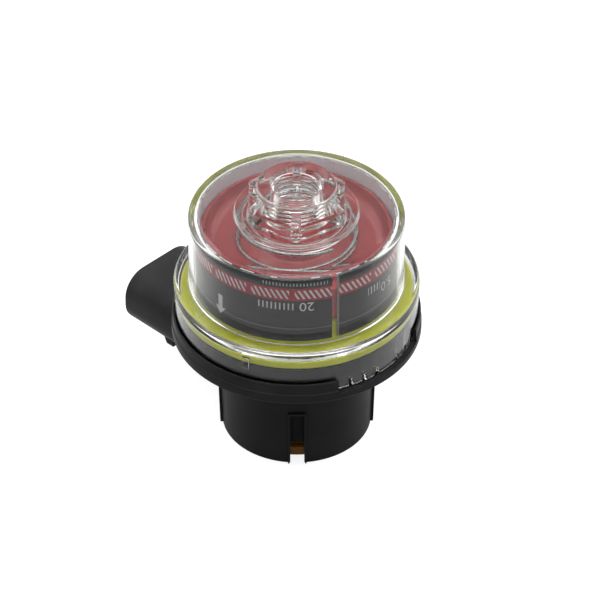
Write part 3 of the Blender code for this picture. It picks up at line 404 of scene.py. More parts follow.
class Signal:
    """A node's output. Python's operators on it add Math nodes."""

    def __init__(self, finish, socket):
        self.finish = finish
        self.socket = socket

    def math(self, operation, *values):
        """A Math node of these values."""
        numbers = {index: value for index, value in enumerate(values)}
        return self.finish.add("ShaderNodeMath", {"operation": operation}, numbers)

    def __add__(self, other):
        return self.math("ADD", self, other)

    def __radd__(self, other):
        return self.math("ADD", other, self)

    def __sub__(self, other):
        return self.math("SUBTRACT", self, other)

    def __rsub__(self, other):
        return self.math("SUBTRACT", other, self)

    def __mul__(self, other):
        return self.math("MULTIPLY", self, other)

    def __rmul__(self, other):
        return self.math("MULTIPLY", other, self)

    def __truediv__(self, other):
        return self.math("DIVIDE", self, other)

    def __mod__(self, other):
        return self.math("FLOORED_MODULO", self, other)

    def __gt__(self, other):
        return self.math("GREATER_THAN", self, other)

    def __lt__(self, other):
        return self.math("LESS_THAN", self, other)

    def __abs__(self):
        return self.math("ABSOLUTE", self)

    def within(self, low, high):
        """1 between two values, 0 outside them."""
        return (self > low) * (self < high)


class Finish:
    """A Principled material and the nodes that vary it over a surface."""

    def __init__(self, name, constants):
        self.material = bpy.data.materials.new(name)
        self.material.use_nodes = True
        self.tree = self.material.node_tree
        self.shader = self.tree.nodes["Principled BSDF"]
        for socket, value in constants.items():
            self.shader.inputs[socket].default_value = value
        self.spot = self.add("ShaderNodeTexCoord", output="Object")

    def add(self, kind, settings=None, values=None, output=0):
        """One node: its settings first, then the values or links of its sockets."""
        node = self.tree.nodes.new(kind)
        for key, value in (settings or {}).items():
            setattr(node, key, value)
        for key, value in (values or {}).items():
            self.feed(node.inputs[key], value)
        return Signal(self, node.outputs[output])

    def feed(self, socket, value):
        """Link a signal to a socket, or set its value."""
        if isinstance(value, Signal):
            self.tree.links.new(value.socket, socket)
        else:
            socket.default_value = value

    def set(self, **signals):
        """Feed the shader's varying inputs."""
        names = {"colour": "Base Color", "roughness": "Roughness", "normal": "Normal"}
        for key, value in signals.items():
            self.feed(self.shader.inputs[names[key]], value)

    def noise(self, scale, detail=2.0, roughness=0.5, stretch=None):
        """Noise by size in features per metre, stretched if asked."""
        spot = self.spot
        if stretch:
            spot = self.add("ShaderNodeMapping", {}, {"Vector": spot, "Scale": stretch})
        values = {"Vector": spot, "Scale": scale, "Detail": detail, "Roughness": roughness}
        return self.add("ShaderNodeTexNoise", {}, values)

    def cells(self, scale):
        """Distance to the nearest cell's middle, by size in cells per metre."""
        return self.add("ShaderNodeTexVoronoi", {}, {"Vector": self.spot, "Scale": scale})

    def span(self, signal, low, high, to_low, to_high):
        """Move a signal's range to another one."""
        values = {"Value": signal, "From Min": low, "From Max": high}
        values.update({"To Min": to_low, "To Max": to_high})
        return self.add("ShaderNodeMapRange", {}, values)

    def blend(self, factor, first, second):
        """Mix two colours."""
        values = {0: factor, 6: first, 7: second}
        return self.add("ShaderNodeMix", {"data_type": "RGBA"}, values, output=2)

    def mottled(self, signal, dark, light, low=0.3, high=0.7):
        """A colour that goes from dark to light as a signal rises."""
        return self.blend(self.span(signal, low, high, 0, 1), dark, light)

    def bump(self, height, distance, strength=1.0):
        """Relief from a height signal, its depth in millimetres."""
        values = {"Height": height, "Distance": distance * MM, "Strength": strength}
        return self.add("ShaderNodeBump", {}, values)

    def along_view(self):
        """Metres behind the body axis, away from the photograph's side."""
        values = {0: self.spot, 1: tuple(BEHIND)}
        return self.add("ShaderNodeVectorMath", {"operation": "DOT_PRODUCT"}, values, output="Value")

    def faces_out(self):
        """1 where a surface faces away from the body axis."""
        normal = self.add("ShaderNodeNewGeometry", output="Normal")
        values = {0: self.spot, 1: tuple(AXIS)}
        offset = self.add("ShaderNodeVectorMath", {"operation": "SUBTRACT"}, values)
        flat = self.add("ShaderNodeVectorMath", {"operation": "MULTIPLY"}, {0: offset, 1: (1, 1, 0)})
        settings = {"operation": "DOT_PRODUCT"}
        facing = self.add("ShaderNodeVectorMath", settings, {0: flat, 1: normal}, output="Value")
        return facing > 0.0

    def height_and_angle(self):
        """Height in millimetres and angle in degrees round the body axis."""
        parts = self.tree.nodes.new("ShaderNodeSeparateXYZ")
        self.tree.links.new(self.spot.socket, parts.inputs[0])
        across = Signal(self, parts.outputs["X"]) - AXIS.x
        along = Signal(self, parts.outputs["Y"])
        up = Signal(self, parts.outputs["Z"]) / MM
        return up, across.math("ARCTAN2", along, across) * (180 / math.pi)


def colour(red, green, blue):
    """A linear colour with full alpha."""
    return (red, green, blue, 1.0)


def black_nylon():
    """Black glass-filled nylon: eroded grain, faint flow marks."""
    finish = Finish("black_nylon", {"IOR": 1.45, "Specular IOR Level": 0.1})
    grain = finish.noise(5200, 3.0, 0.6)
    flow = finish.noise(160, 3.0, 0.55)
    finish.set(
        colour=finish.mottled(flow, colour(0.018, 0.0183, 0.0195), colour(0.026, 0.0262, 0.0278)),
        roughness=finish.span(grain + flow * 0.8, 0.7, 1.1, 0.3, 0.42),
        normal=finish.bump(grain, 0.02, 0.55),
    )
    return finish.material


def clear_plastic():
    """Water-clear moulded plastic, polished, with a breath of haze."""
    finish = Finish(
        "clear_plastic",
        {"Base Color": colour(0.975, 0.985, 0.975), "IOR": 1.5, "Transmission Weight": 1.0},
    )
    haze = finish.noise(240, 2.0, 0.5)
    ripple = finish.noise(120, 1.0, 0.4)
    up, angle = finish.height_and_angle()
    boss = up > PAD_TOP + 0.2
    finish.set(
        roughness=finish.span(haze, 0.35, 0.65, 0.008, 0.035) + boss * 0.045,
        normal=finish.bump(ripple, 0.03, 0.1),
    )
    tint = {"Color": colour(0.72, 0.71, 0.7), "Density": 70}
    body = finish.add("ShaderNodeVolumeAbsorption", {}, tint)
    finish.tree.links.new(body.socket, finish.tree.nodes["Material Output"].inputs["Volume"])
    return finish.material


def printed_film():
    """Label film, white inside; outside black, with a hatched red band, ticks and an arrow."""
    finish = Finish("printed_film", {"IOR": 1.45, "Specular IOR Level": 0.2})
    up, angle = finish.height_and_angle()
    band = up.within(BAND_FOOT, BAND_TOP)
    slant = (angle + (up - BAND_FOOT - 1.4) * HATCH_LEAN) % HATCH_STEP
    group = (angle % (8 * HATCH_STEP)) > HATCH_STEP
    inside = up.within(BAND_FOOT + BAND_MARGIN, BAND_TOP - BAND_MARGIN)
    hatch = inside * (slant < HATCH_WIDTH) * group

    def ticks(foot, top, step, first, last):
        return up.within(foot, top) * ((angle % step) < TICK_WIDTH) * angle.within(first, last)

    upper_ticks = ticks(47.6, 48.3, 1.9, -64.5, -28)
    lower_ticks = ticks(41.9, 43.5, 2.4, -68, -46)
    side_ticks = ticks(41.3, 43.0, 2.4, -2, 7.5)
    aside = abs(angle - ARROW_ANGLE)
    shaft = (aside < 1.6) * up.within(ARROW_TIP + 1.6, ARROW_TIP + 4.5)
    head = (aside < (up - ARROW_TIP) * 2.4) * up.within(ARROW_TIP, ARROW_TIP + 1.65)
    arrow = shaft + head
    seam = up.within(37.2, 37.5)
    white = hatch + upper_ticks * 0.5 + lower_ticks + side_ticks + arrow + seam * 0.14
    white = white.math("MINIMUM", white, 1.0)
    speck = finish.noise(2600, 2.0, 0.6)
    ink = finish.blend(band, colour(0.018, 0.018, 0.02), colour(0.42, 0.025, 0.04))
    ink = finish.blend(white * finish.span(speck, 0.25, 0.4, 0.85, 1.0), ink, colour(0.72, 0.72, 0.74))
    margin = angle.within(LABEL_GAP_ANGLE, LABEL_GAP_ANGLE + LABEL_GAP / 2 + 1.2)
    film = colour(0.86, 0.94, 1.0)
    bare = colour(0.3, 0.27, 0.26)
    finish.set(
        colour=finish.blend(finish.faces_out(), film, finish.blend(margin, ink, bare)),
        roughness=finish.span(speck, 0.3, 0.7, 0.28, 0.4),
        normal=finish.bump(speck, 0.004, 0.4),
    )
    return finish.material


def red_plastic():
    """Bright red moulded plastic with a glossy skin."""
    finish = Finish("red_plastic", {"IOR": 1.5})
    cloud = finish.noise(180, 3.0, 0.55)
    grain = finish.noise(3800, 2.0, 0.6)
    finish.set(
        colour=finish.mottled(cloud, colour(0.46, 0.04, 0.046), colour(0.55, 0.05, 0.058)),
        roughness=finish.span(grain, 0.3, 0.7, 0.12, 0.22),
        normal=finish.bump(grain, 0.008, 0.2),
    )
    return finish.material


def yellow_silicone():
    """Soft yellow-green silicone with a satin, slightly dusty skin."""
    finish = Finish("yellow_silicone", {"IOR": 1.43, "Specular IOR Level": 0.45})
    cloud = finish.noise(220, 3.0, 0.5)
    dust = finish.cells(2600)
    finish.set(
        colour=finish.mottled(cloud, colour(0.62, 0.645, 0.014), colour(0.74, 0.76, 0.035)),
        roughness=finish.span(dust, 0.0, 0.5, 0.5, 0.36),
        normal=finish.bump(cloud, 0.03, 0.4),
    )
    return finish.material


def amber_plastic():
    """Amber moulded plastic, satin."""
    finish = Finish("amber_plastic", {"IOR": 1.48})
    cloud = finish.noise(200, 2.0, 0.5)
    grain = finish.noise(3600, 2.0, 0.6)
    finish.set(
        colour=finish.mottled(cloud, colour(0.22, 0.09, 0.004), colour(0.3, 0.13, 0.006)),
        roughness=finish.span(grain, 0.3, 0.7, 0.3, 0.42),
        normal=finish.bump(grain, 0.01, 0.35),
    )
    return finish.material


def natural_plastic():
    """Uncoloured acetal: milky, slightly mottled."""
    finish = Finish("natural_plastic", {"IOR": 1.48})
    cloud = finish.noise(260, 3.0, 0.5)
    finish.set(
        colour=finish.mottled(cloud, colour(0.66, 0.65, 0.6), colour(0.76, 0.75, 0.7)),
        roughness=finish.span(cloud, 0.3, 0.7, 0.36, 0.5),
        normal=finish.bump(cloud, 0.02, 0.3),
    )
    return finish.material


def drawn_metal(name, dark, light, scale, stretch):
    """Bright metal with fine drawing or rolling lines."""
    finish = Finish(name, {"Metallic": 1.0})
    lines = finish.noise(scale, 3.0, 0.6, stretch)
    stain = finish.noise(300, 2.0, 0.5)
    finish.set(
        colour=finish.mottled(stain, dark, light),
        roughness=finish.span(lines, 0.3, 0.7, 0.2, 0.36),
        normal=finish.bump(lines, 0.006, 0.5),
    )
    return finish.material


def filter_foam():
    """Dark open-cell foam, its cell hollows painted near black as painted shade in the pores."""
    finish = Finish("filter_foam", {"IOR": 1.4})
    # painted shade: near black in the cell hollows, where the pores would lie in shade; the struts keep
    # the foam's own dark grey
    pore_shade = colour(0.008, 0.008, 0.008)
    strut = colour(0.06, 0.06, 0.06)
    cells = finish.cells(1500)
    fine = finish.cells(3200)
    finish.set(
        colour=finish.mottled(cells, pore_shade, strut, 0.1, 0.6),
        roughness=finish.span(fine, 0.0, 0.6, 0.95, 0.8),
        normal=finish.bump(cells + fine * 0.5, 0.3, 0.9),
    )
    return finish.material


def clad(piece, material, body, slot, *nodes):
    """Give a piece its finish, its body and the nodes that it stands for."""
    piece.data.materials.clear()
    piece.data.materials.append(material)
    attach(piece, body)
    if nodes:
        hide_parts(*nodes)
    return piece


# Clear housing

def hexagon(name, across_flats, bottom, top, rounding):
    """A six-sided drum with rounded upright corners."""
    corner = across_flats / math.sqrt(3)
    drum = disc(name, corner, top - bottom, (0, 0, (top + bottom) / 2), steps=6)
    turned_drum = turn_copy(drum, HEX_TURN + 30, name + "_turned")
    bpy.data.objects.remove(drum)
    edit(turned_drum)
    bevel(lambda edge: abs(run_of(edge).z) > 0.9, rounding, 3)
    close()
    return turned_drum


def boss():
    """The boss: a six-sided wall round a threaded collar, with a gusset to each corner."""
    wall = hexagon("hex_boss", HEX_ACROSS_FLATS, CUP_TOP + 0.35, HEX_TOP, 0.45)
    edit(wall)
    bevel(lambda edge: centre_of(edge).z > HEX_TOP - 0.01, 0.2, 2)
    close()
    pocket = hexagon("pocket", HEX_ACROSS_FLATS - 2 * HEX_WALL, PAD_TOP + 0.35, HEX_TOP + 2, 0.3)
    combine(wall, [pocket])
    collar = [
        (0, BOSS_TOP, 0),
        (COLLAR_RADIUS, BOSS_TOP, 0.45),
        (COLLAR_RADIUS - 0.15, PAD_TOP, 0),
        (0, PAD_TOP, 0),
    ]
    combine(wall, [turned("collar", collar, closed=False, steps=FINE)], "UNION")
    reach = (HEX_ACROSS_FLATS - HEX_WALL) / math.sqrt(3)
    rib = [
        (COLLAR_RADIUS - 1, PAD_TOP + 0.1, 0),
        (COLLAR_RADIUS - 1, BOSS_TOP - 0.8, 0),
        (COLLAR_RADIUS, BOSS_TOP - 1.0, 0.2),
        (reach, HEX_TOP - 0.15, 0.2),
        (reach, PAD_TOP + 0.1, 0),
    ]
    ribs = [gusset("rib", rib, 1.9, HEX_TURN + 60 * index) for index in range(6)]
    return combine(wall, ribs, "UNION")


def thread_tool():
    """The helical groove of the pipe thread: a wedge carried up round the axis."""
    steps_per_turn = 48
    turns = 10
    foot = BOSS_TOP - turns * THREAD_PITCH
    inside = THREAD_CREST - 0.2
    corners = [
        (inside, foot, 0),
        (inside, foot + 0.86, 0),
        (THREAD_ROOT, foot + 0.5, 0),
        (THREAD_ROOT, foot + 0.36, 0),
    ]
    groove = section("thread_groove", corners, closed=True)
    bpy.ops.mesh.select_mode(type="VERT")
    bpy.ops.mesh.select_all(action="SELECT")
    bpy.ops.mesh.edge_face_add()
    climb = {"value": (0, 0, THREAD_PITCH / steps_per_turn * MM)}
    for step in range(turns * steps_per_turn):
        bpy.ops.mesh.extrude_region_move(TRANSFORM_OT_translate=climb)
        bpy.ops.transform.rotate(
            value=-math.tau / steps_per_turn, orient_axis="Z", center_override=AXIS
        )
    bpy.ops.mesh.select_all(action="SELECT")
    bpy.ops.mesh.normals_make_consistent(inside=False)
    close()
    return groove


def notch_tools():
    """Round-topped tongues that cut the notches in the rim."""
    half = NOTCH_WIDTH / 2
    top = RIM_FOOT + NOTCH_HEIGHT
    corners = [
        (half, RIM_FOOT - 1, 0),
        (half, top, half * 0.98),
        (-half, top, half * 0.98),
        (-half, RIM_FOOT - 1, 0),
    ]
    inner = RIM_RADIUS - 1.5
    outer = SHOULDER_RADIUS + 0.5
    return [plate("notch_cut", corners, inner, outer, angle) for angle in NOTCH_ANGLES]


def clear_housing(material):
    """The clear cup, its boss and thread, shoulder, notched rim and index pip."""
    guide = SPRING_RADIUS - SPRING_WIRE / 2 - 0.3
    corners = [
        (0, PAD_TOP, 0),
        (PAD_RADIUS, PAD_TOP, 0.3),
        (PAD_RADIUS, CUP_TOP, 0.3),
        (ROOF_EDGE, CUP_TOP, 0.5),
        (CUP_RADIUS, CUP_TOP - 0.6, 0.6),
        (CUP_RADIUS, SHOULDER_TOP, 0.45),
        (SHOULDER_RADIUS, SHOULDER_TOP, 0.8),
        (RIM_RADIUS, RIM_FOOT, 0.15),
        (RIM_RADIUS - RIM_WALL, RIM_FOOT, 0.15),
        (SHOULDER_RADIUS - RIM_WALL, SHOULDER_UNDER, 0.3),
        (CUP_INNER, SHOULDER_UNDER, 0.2),
        (CUP_INNER, CEILING, 1.2),
        (guide, CEILING, 0.2),
        (guide, CEILING - 1.2, 0.15),
        (guide - 0.8, CEILING - 1.2, 0.15),
        (guide - 0.8, CEILING, 0.2),
        (0, CEILING, 0),
    ]
    housing = turned("clear_housing_moulding", corners, closed=False, steps=HOUSING_STEPS)
    combine(housing, notch_tools())
    bore = [
        (0, BOSS_TOP + 1, 0),
        (THREAD_ROOT + 1.3, BOSS_TOP + 1, 0),
        (THREAD_CREST, BOSS_TOP - 0.85, 0),
        (THREAD_CREST, CEILING - 1, 0),
        (0, CEILING - 1, 0),
    ]
    pip_height = 2.6
    pip_top = SHOULDER_UNDER - 0.1
    pip = block("pip", (0.775, 1.5, pip_height), (SHOULDER_RADIUS - 0.0875, 0, pip_top - pip_height / 2))
    edit(pip)
    bevel(lambda edge: centre_of(edge).x > SHOULDER_RADIUS, 0.15, 3)
    close()
    turned_pip = turn_copy(pip, PIP_ANGLE, "index_pip")
    bpy.data.objects.remove(pip)
    combine(housing, [turned_pip, boss()], "UNION")
    combine(housing, [turned("bore", bore, closed=False, steps=FINE), thread_tool()])
    smooth(housing, 28)
    return clad(housing, material, "body", "clear_plastic", "clear_housing")


# Label sleeve

def data_label(material):
    """The printed film, rolled just short of a full turn."""
    inner = LABEL_RADIUS - LABEL_THICKNESS
    corners = [
        (LABEL_RADIUS, LABEL_TOP, 0),
        (LABEL_RADIUS, LABEL_FOOT, 0),
        (inner, LABEL_FOOT, 0),
        (inner, LABEL_TOP, 0),
    ]
    start = LABEL_GAP_ANGLE + LABEL_GAP / 2
    film = turned("label_film", corners, steps=180, sweep=360 - LABEL_GAP, start=start)
    smooth(film, 35)
    return clad(film, material, "body", "label_film", "data_label")


def numerals(words, angle, height, size, material):
    """Numbers printed upside down on the film, bent to its curve."""
    deselect()
    bpy.ops.object.text_add(location=(0, 0, 0))
    text = bpy.context.object
    text.data.body = words
    text.data.align_x = "CENTER"
    text.data.align_y = "CENTER"
    text.data.size = size * MM
    text.data.extrude = 0.01 * MM
    bpy.ops.object.convert(target="MESH")
    piece = bpy.context.object
    piece.name = "scale_number_" + words.replace(".", "_")
    edit(piece)
    bpy.ops.mesh.remove_doubles(threshold=0.001 * MM)
    close()
    radius = (LABEL_RADIUS + 0.03) * MM
    for vert in piece.data.vertices:
        turn = math.radians(angle) - vert.co.x / radius
        away = radius + vert.co.z
        up = height * MM - vert.co.y
        vert.co = AXIS + Vector((away * math.cos(turn), away * math.sin(turn), up))
    edit(piece)
    bpy.ops.mesh.normals_make_consistent(inside=False)
    close()
    return clad(piece, material, "body", "label_film")


# Red cup, diaphragm and springs

def red_cup(material):
    """The red cup: dished bowl with a centre post, and the piston skirt under it."""
    under = BOWL_FLOOR - 1.2
    top = BOWL_FLOOR + HUB_RISE
    corners = [
        (0, top - 0.5, 0),
        (1.6, top - 0.5, 0.2),
        (2.0, top, 0.15),
        (HUB_RADIUS, top, 0.6),
        (HUB_RADIUS + 0.3, BOWL_FLOOR, 0.8),
        (RED_RADIUS - RED_WALL, BOWL_FLOOR, 2.8),
        (RED_RADIUS - RED_WALL, RED_TOP, 0.15),
        (RED_RADIUS, RED_TOP, 0.25),
        (RED_RADIUS, RED_FOOT, 0.1),
        (RED_RADIUS - RED_WALL, RED_FOOT, 0.1),
        (RED_RADIUS - RED_WALL, under, 0.3),
        (PISTON_RADIUS, under, 0.3),
        (PISTON_RADIUS, PISTON_FOOT, 0.1),
        (PISTON_RADIUS - PISTON_WALL, PISTON_FOOT, 0.1),
        (PISTON_RADIUS - PISTON_WALL, under, 0.3),
        (HUB_RADIUS, under, 0.3),
        (HUB_RADIUS, PISTON_FOOT, 0.1),
        (2.2, PISTON_FOOT, 0.1),
        (2.2, top - 1.2, 0.1),
        (0, top - 1.2, 0),
    ]
    cup = turned("red_cup", corners, closed=False, steps=FINE)
    smooth(cup, 35)
    return clad(cup, material, "indicator", "red_plastic", "indicator_cup")


def diaphragm(material):
    """The rolling diaphragm, which follows the red cup from its clamped bead."""
    wall = 0.5
    outer = RED_RADIUS
    inner = PISTON_RADIUS + 0.3
    link = BEAD_FOOT + 1.0
    bead_out = RIM_RADIUS - RIM_WALL
    bead_in = CUP_INNER - 0.3
    corners = [
        (outer, ROLL_TOP, 1.2),
        (outer, link + wall, 0.1),
        (bead_in, link + wall, 0.1),
        (bead_in, BEAD_TOP, 0.2),
        (bead_out, BEAD_TOP, 0.6),
        (bead_out, BEAD_FOOT, 0.6),
        (bead_in, BEAD_FOOT, 0.2),
        (bead_in, link, 0.1),
        (outer - wall, link, 0.1),
        (outer - wall, ROLL_TOP - wall, 0.7),
        (inner + wall, ROLL_TOP - wall, 0.7),
        (inner + wall, WEB_FOOT, 0.15),
        (2.2, WEB_FOOT, 0.1),
        (2.2, WEB_TOP, 0.1),
        (inner, WEB_TOP, 0.3),
        (inner, ROLL_TOP, 1.2),
    ]
    piece = turned("silicone_diaphragm", corners, steps=FINE)
    smooth(piece, 35)
    piece.data.materials.append(material)
    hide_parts("rolling_diaphragm")
    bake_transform(piece)
    return piece


def coil(name, radius, wire, levels, turns, flats, start=0, droop=0):
    """A compression spring: its wire's section carried round the axis, step by step.

    Its two ends have flat turns, and the last stretch of wire may droop.
    """
    steps_per_turn = 36
    count = round(turns * steps_per_turn)
    rise = wire * 1.05
    low = levels[0] + wire / 2
    high = levels[1] - wire / 2
    below, above = flats

    def height(turn):
        if turn < below:
            return low + rise * turn
        if turn > turns - above:
            return high - rise * (turns - turn) - droop * max(0, 1 - (turns - turn) / 0.2) ** 2
        share = (turn - below) / (turns - below - above)
        return low + rise * below + (high - low - rise * (below + above)) * share

    deselect()
    bpy.ops.mesh.primitive_circle_add(
        vertices=WIRE_SIDES,
        radius=wire / 2 * MM,
        fill_type="NGON",
        location=place(radius, 0, low),
        rotation=(math.pi / 2, 0, 0),
    )
    spring = started(name)
    edit(spring)
    angle = math.tau / steps_per_turn
    bpy.ops.transform.rotate(value=-math.radians(start), orient_axis="Z", center_override=AXIS)
    for step in range(count):
        climb = height((step + 1) / steps_per_turn) - height(step / steps_per_turn)
        bpy.ops.mesh.extrude_region_move(TRANSFORM_OT_translate={"value": (0, 0, climb * MM)})
        bpy.ops.transform.rotate(value=-angle, orient_axis="Z", center_override=AXIS)
    bpy.ops.mesh.select_all(action="SELECT")
    bpy.ops.mesh.normals_make_consistent(inside=False)
    close()
    smooth(spring, 50)
    return spring


# Black base

def at_mouth(edge):
    """Whether an edge lies between the shroud's flat end and a side."""
    at_end = centre_of(edge).x < -CONNECTOR_REACH + 0.01 and abs(run_of(edge).x) < 0.1
    beside = any(abs(face.normal.x) < 0.5 for face in edge.link_faces)
    return at_end and beside and len(edge.link_faces) == 2


def shroud():
    """The connector's round rectangular sleeve with its deep socket."""
    root = (TUBE_RADIUS + TUBE_NARROW) / 2
    length = CONNECTOR_REACH - root
    centre = (-(root + length / 2), 0, SHROUD_MIDDLE)
    piece = block("shroud", (length, CONNECTOR_WIDTH, CONNECTOR_DEPTH), centre)
    edit(piece)
    bevel(lambda edge: abs(run_of(edge).x) > 0.9, CONNECTOR_CORNER, 10)
    pick("faces", lambda face: face.normal.x < -0.9)
    bpy.ops.mesh.inset(thickness=CONNECTOR_WALL * MM)
    bpy.ops.mesh.extrude_region_move(
        TRANSFORM_OT_translate={"value": (SOCKET_DEPTH * MM, 0, 0)}
    )
    bevel(at_mouth, 0.3, 3)
    bpy.ops.mesh.select_all(action="SELECT")
    bpy.ops.mesh.normals_make_consistent(inside=False)
    close()
    return piece


def ramps():
    """Two small ramps under the shroud that a plug's latch snaps over."""
    made = []
    under = SHROUD_MIDDLE - CONNECTOR_DEPTH / 2
    for side in (-1, 1):
        centre = (-RAMP_REACH, side * RAMP_ASIDE, under + 0.65)
        ramp = block("ramp", (3.0, 2.4, 2.5), centre)
        edit(ramp)
        far = RAMP_REACH + 1.4
        pick("edges", lambda edge: centre_of(edge).z < under - 0.5 and centre_of(edge).x < -far)
        bpy.ops.transform.translate(value=(1.2 * MM, 0, 0))
        bevel(lambda edge: centre_of(edge).z < under - 0.5, 0.15, 2)
        close()
        made.append(ramp)
    return made


def slot_frames():
    """Raised frames round the skirt's slots."""
    wall = [
        (SKIRT_TOP_RADIUS + FRAME_HEIGHT, SKIRT_TOP, 0),
        (SKIRT_FOOT_RADIUS + FRAME_HEIGHT, 0, 0.3),
        (SKIRT_FOOT_RADIUS - SKIRT_WALL / 2, 0, 0),
        (SKIRT_TOP_RADIUS - SKIRT_WALL / 2, SKIRT_TOP, 0),
    ]
    half = SLOT_WIDTH / 2 + FRAME_WIDTH
    top = SLOT_HEIGHT + FRAME_WIDTH
    corners = [(half, -1, 0), (half, top, 0.3), (-half, top, 0.3), (-half, -1, 0)]
    made = []
    for angle in SLOT_ANGLES:
        frame_ring = turned("frames", wall, steps=ROUND)
        column = plate("column", corners, SKIRT_FOOT_RADIUS - 2, SKIRT_TOP_RADIUS + 2, angle)
        made.append(combine(frame_ring, [column], "INTERSECT"))
    return made


def slot_tools():
    """Slots open at the ground, whose mouths widen in round corners."""
    half = SLOT_WIDTH / 2
    wide = half + SLOT_FLARE * 1.1
    ground = 0.001
    right = [(wide, -1, 0), (wide, ground, 0), (half, ground, SLOT_FLARE), (half, SLOT_HEIGHT, 0.15)]
    left = [(-along, up, width) for along, up, width in reversed(right)]
    inner = TUBE_RADIUS + 0.3
    outer = SKIRT_TOP_RADIUS + 2
    return [plate("slot_cut", right + left, inner, outer, angle) for angle in SLOT_ANGLES]


def lip_window():
    """The stretch of the lip that is left out over the notches."""
    inner = (SEAT_RADIUS + LIP_INNER) / 2
    outer = FLANGE_RADIUS + 1
    bottom = FLOOR_TOP - 0.15
    corners = [(outer, LIP_TOP + 1, 0), (outer, bottom, 0), (inner, bottom, 0), (inner, LIP_TOP + 1, 0)]
    start = WINDOW_CENTRE - WINDOW_HALF
    return turned("window", corners, steps=36, sweep=2 * WINDOW_HALF, start=start)


def base(material):
    """The black base: flange, lip, seat, skirt with slots, tube and connector."""
    corners = [
        (SEAT_RADIUS, SEAT_TOP, 0.25),
        (SEAT_RADIUS, FLOOR_TOP, 0.15),
        (LIP_INNER, FLOOR_TOP, 0.15),
        (LIP_INNER, LIP_TOP, 0.12),
        (LIP_RADIUS, LIP_TOP, 0.2),
        (LIP_RADIUS - 0.02, FLOOR_TOP + 0.55, 0.12),
        (FLANGE_RADIUS, FLOOR_TOP + 0.5, 0.12),
        (FLANGE_RADIUS, SKIRT_TOP, 0.5),
        (SKIRT_TOP_RADIUS, SKIRT_TOP, 0.7),
        (SKIRT_FOOT_RADIUS, 0, 0.3),
        (SKIRT_FOOT_RADIUS - SKIRT_WALL, 0, 0.2),
        (SKIRT_TOP_RADIUS - SKIRT_WALL, SKIRT_TOP, 0.3),
        (TUBE_RADIUS, SKIRT_TOP, 0.3),
        (TUBE_RADIUS, TUBE_FOOT, 0.2),
        (TUBE_INNER, TUBE_FOOT, 0.2),
        (TUBE_INNER, TUBE_SHOULDER, 0.1),
        (TUBE_NARROW, TUBE_SHOULDER, 0.1),
        (TUBE_NARROW, SKIRT_TOP, 0.3),
        (STEM_BORE, SKIRT_TOP, 0.15),
        (STEM_BORE, TOWER_TOP, 0.2),
        (TOWER_RADIUS, TOWER_TOP, 0.2),
        (TOWER_RADIUS, FLOOR_TOP, 0.3),
        (SEAT_RADIUS - 1.35, FLOOR_TOP, 0.3),
        (SEAT_RADIUS - 1.35, SEAT_TOP - 1.2, 0.2),
        (SEAT_INNER, SEAT_TOP - 1.2, 0.2),
        (SEAT_INNER, SEAT_TOP, 0.2),
    ]
    piece = turned("black_base", corners, steps=ROUND)
    combine(piece, [shroud()] + ramps() + slot_frames(), "UNION")
    inner = TUBE_NARROW - 2
    outer = CONNECTOR_REACH - SOCKET_DEPTH + 0.5
    blade_ways = []
    for side in (-1, 1):
        centre = (-(inner + outer) / 2, side * BLADE_ASIDE, CONNECTOR_HEIGHT)
        blade_ways.append(block("blade_way", (outer - inner, 3.4, 1.4), centre))
    combine(piece, blade_ways + [lip_window()] + slot_tools())
    hook_ways = []
    for side in (-1, 1):
        centre = (side * (TUBE_INNER + 0.3), 0, HOOK_LEVEL + 0.5)
        hook_ways.append(block("hook_way", (2.6, 3.6, 2.6), centre))
    combine(piece, hook_ways)
    smooth(piece, 32)
    return clad(piece, material, "body", "black_plastic", "base_body")


def button(material):
    """The amber reset button with its sleeve, hooks and prongs."""
    low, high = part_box("reset_button")
    foot = low[2] / MM
    face = foot + 2.1
    sleeve_top = 8.6
    radius = (high[0] - low[0]) / MM / 2
    sleeve = TUBE_INNER - 0.3
    corners = [
        (0, face + 1, 0),
        (5.4, face + 1, 0.2),
        (5.4, face, 0.2),
        (sleeve - 1, face, 0.3),
        (sleeve - 1, sleeve_top, 0.2),
        (sleeve, sleeve_top, 0.3),
        (sleeve, face, 0.2),
        (radius, face, 0.3),
        (radius, foot, 0.6),
        (radius * 0.72, foot, 0.3),
        (radius * 0.66, foot + 0.4, 0.3),
        (0, foot + 0.4, 0),
    ]
    piece = turned("amber_button", corners, closed=False, steps=FINE)
    prong_top = high[2] / MM
    extras = []
    for side in (-1, 1):
        hook = block("hook", (1.6, 3.0, 1.0), (side * (sleeve + 0.3), 0, HOOK_LEVEL))
        edit(hook)
        bevel(lambda edge: abs(centre_of(edge).x) > sleeve + 0.9, 0.2, 2)
        close()
        extras.append(hook)
        centre = (0, side * PRONG_ASIDE, (prong_top + face - 1) / 2)
        prong = disc("prong", 0.9, prong_top - face + 1, centre, 24)
        edit(prong)
        pick("faces", lambda part: part.normal.z > 0.9)
        bpy.ops.transform.resize(value=(0.8, 0.8, 1))
        bevel(lambda edge: centre_of(edge).z > prong_top - 0.01, 0.2, 2)
        close()
        extras.append(prong)
    combine(piece, extras, "UNION")
    smooth(piece, 35)
    return clad(piece, material, "button", "amber_plastic", "reset_button")


def blade(name, node, material):
    """A connector blade with a chamfered tip and softened edges."""
    low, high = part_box(node)
    size = [(upper - lower) / MM for lower, upper in zip(low, high)]
    centre = [((upper + lower) / 2 - shift) / MM for lower, upper, shift in zip(low, high, AXIS)]
    piece = block(name, size, centre)
    tip = (low[0] - AXIS.x) / MM

    def level_at_tip(edge):
        run = run_of(edge)
        return centre_of(edge).x < tip + 0.8 and abs(run.z) < 0.5 and abs(run.x) < 0.95

    edit(piece)
    bevel(lambda edge: abs(run_of(edge).z) > 0.9 and centre_of(edge).x < tip + 0.01, 0.7, 1)
    bevel(level_at_tip, 0.2, 2)
    close()
    smooth(piece, 30)
    return clad(piece, material, "body", "tinned_blade", node)


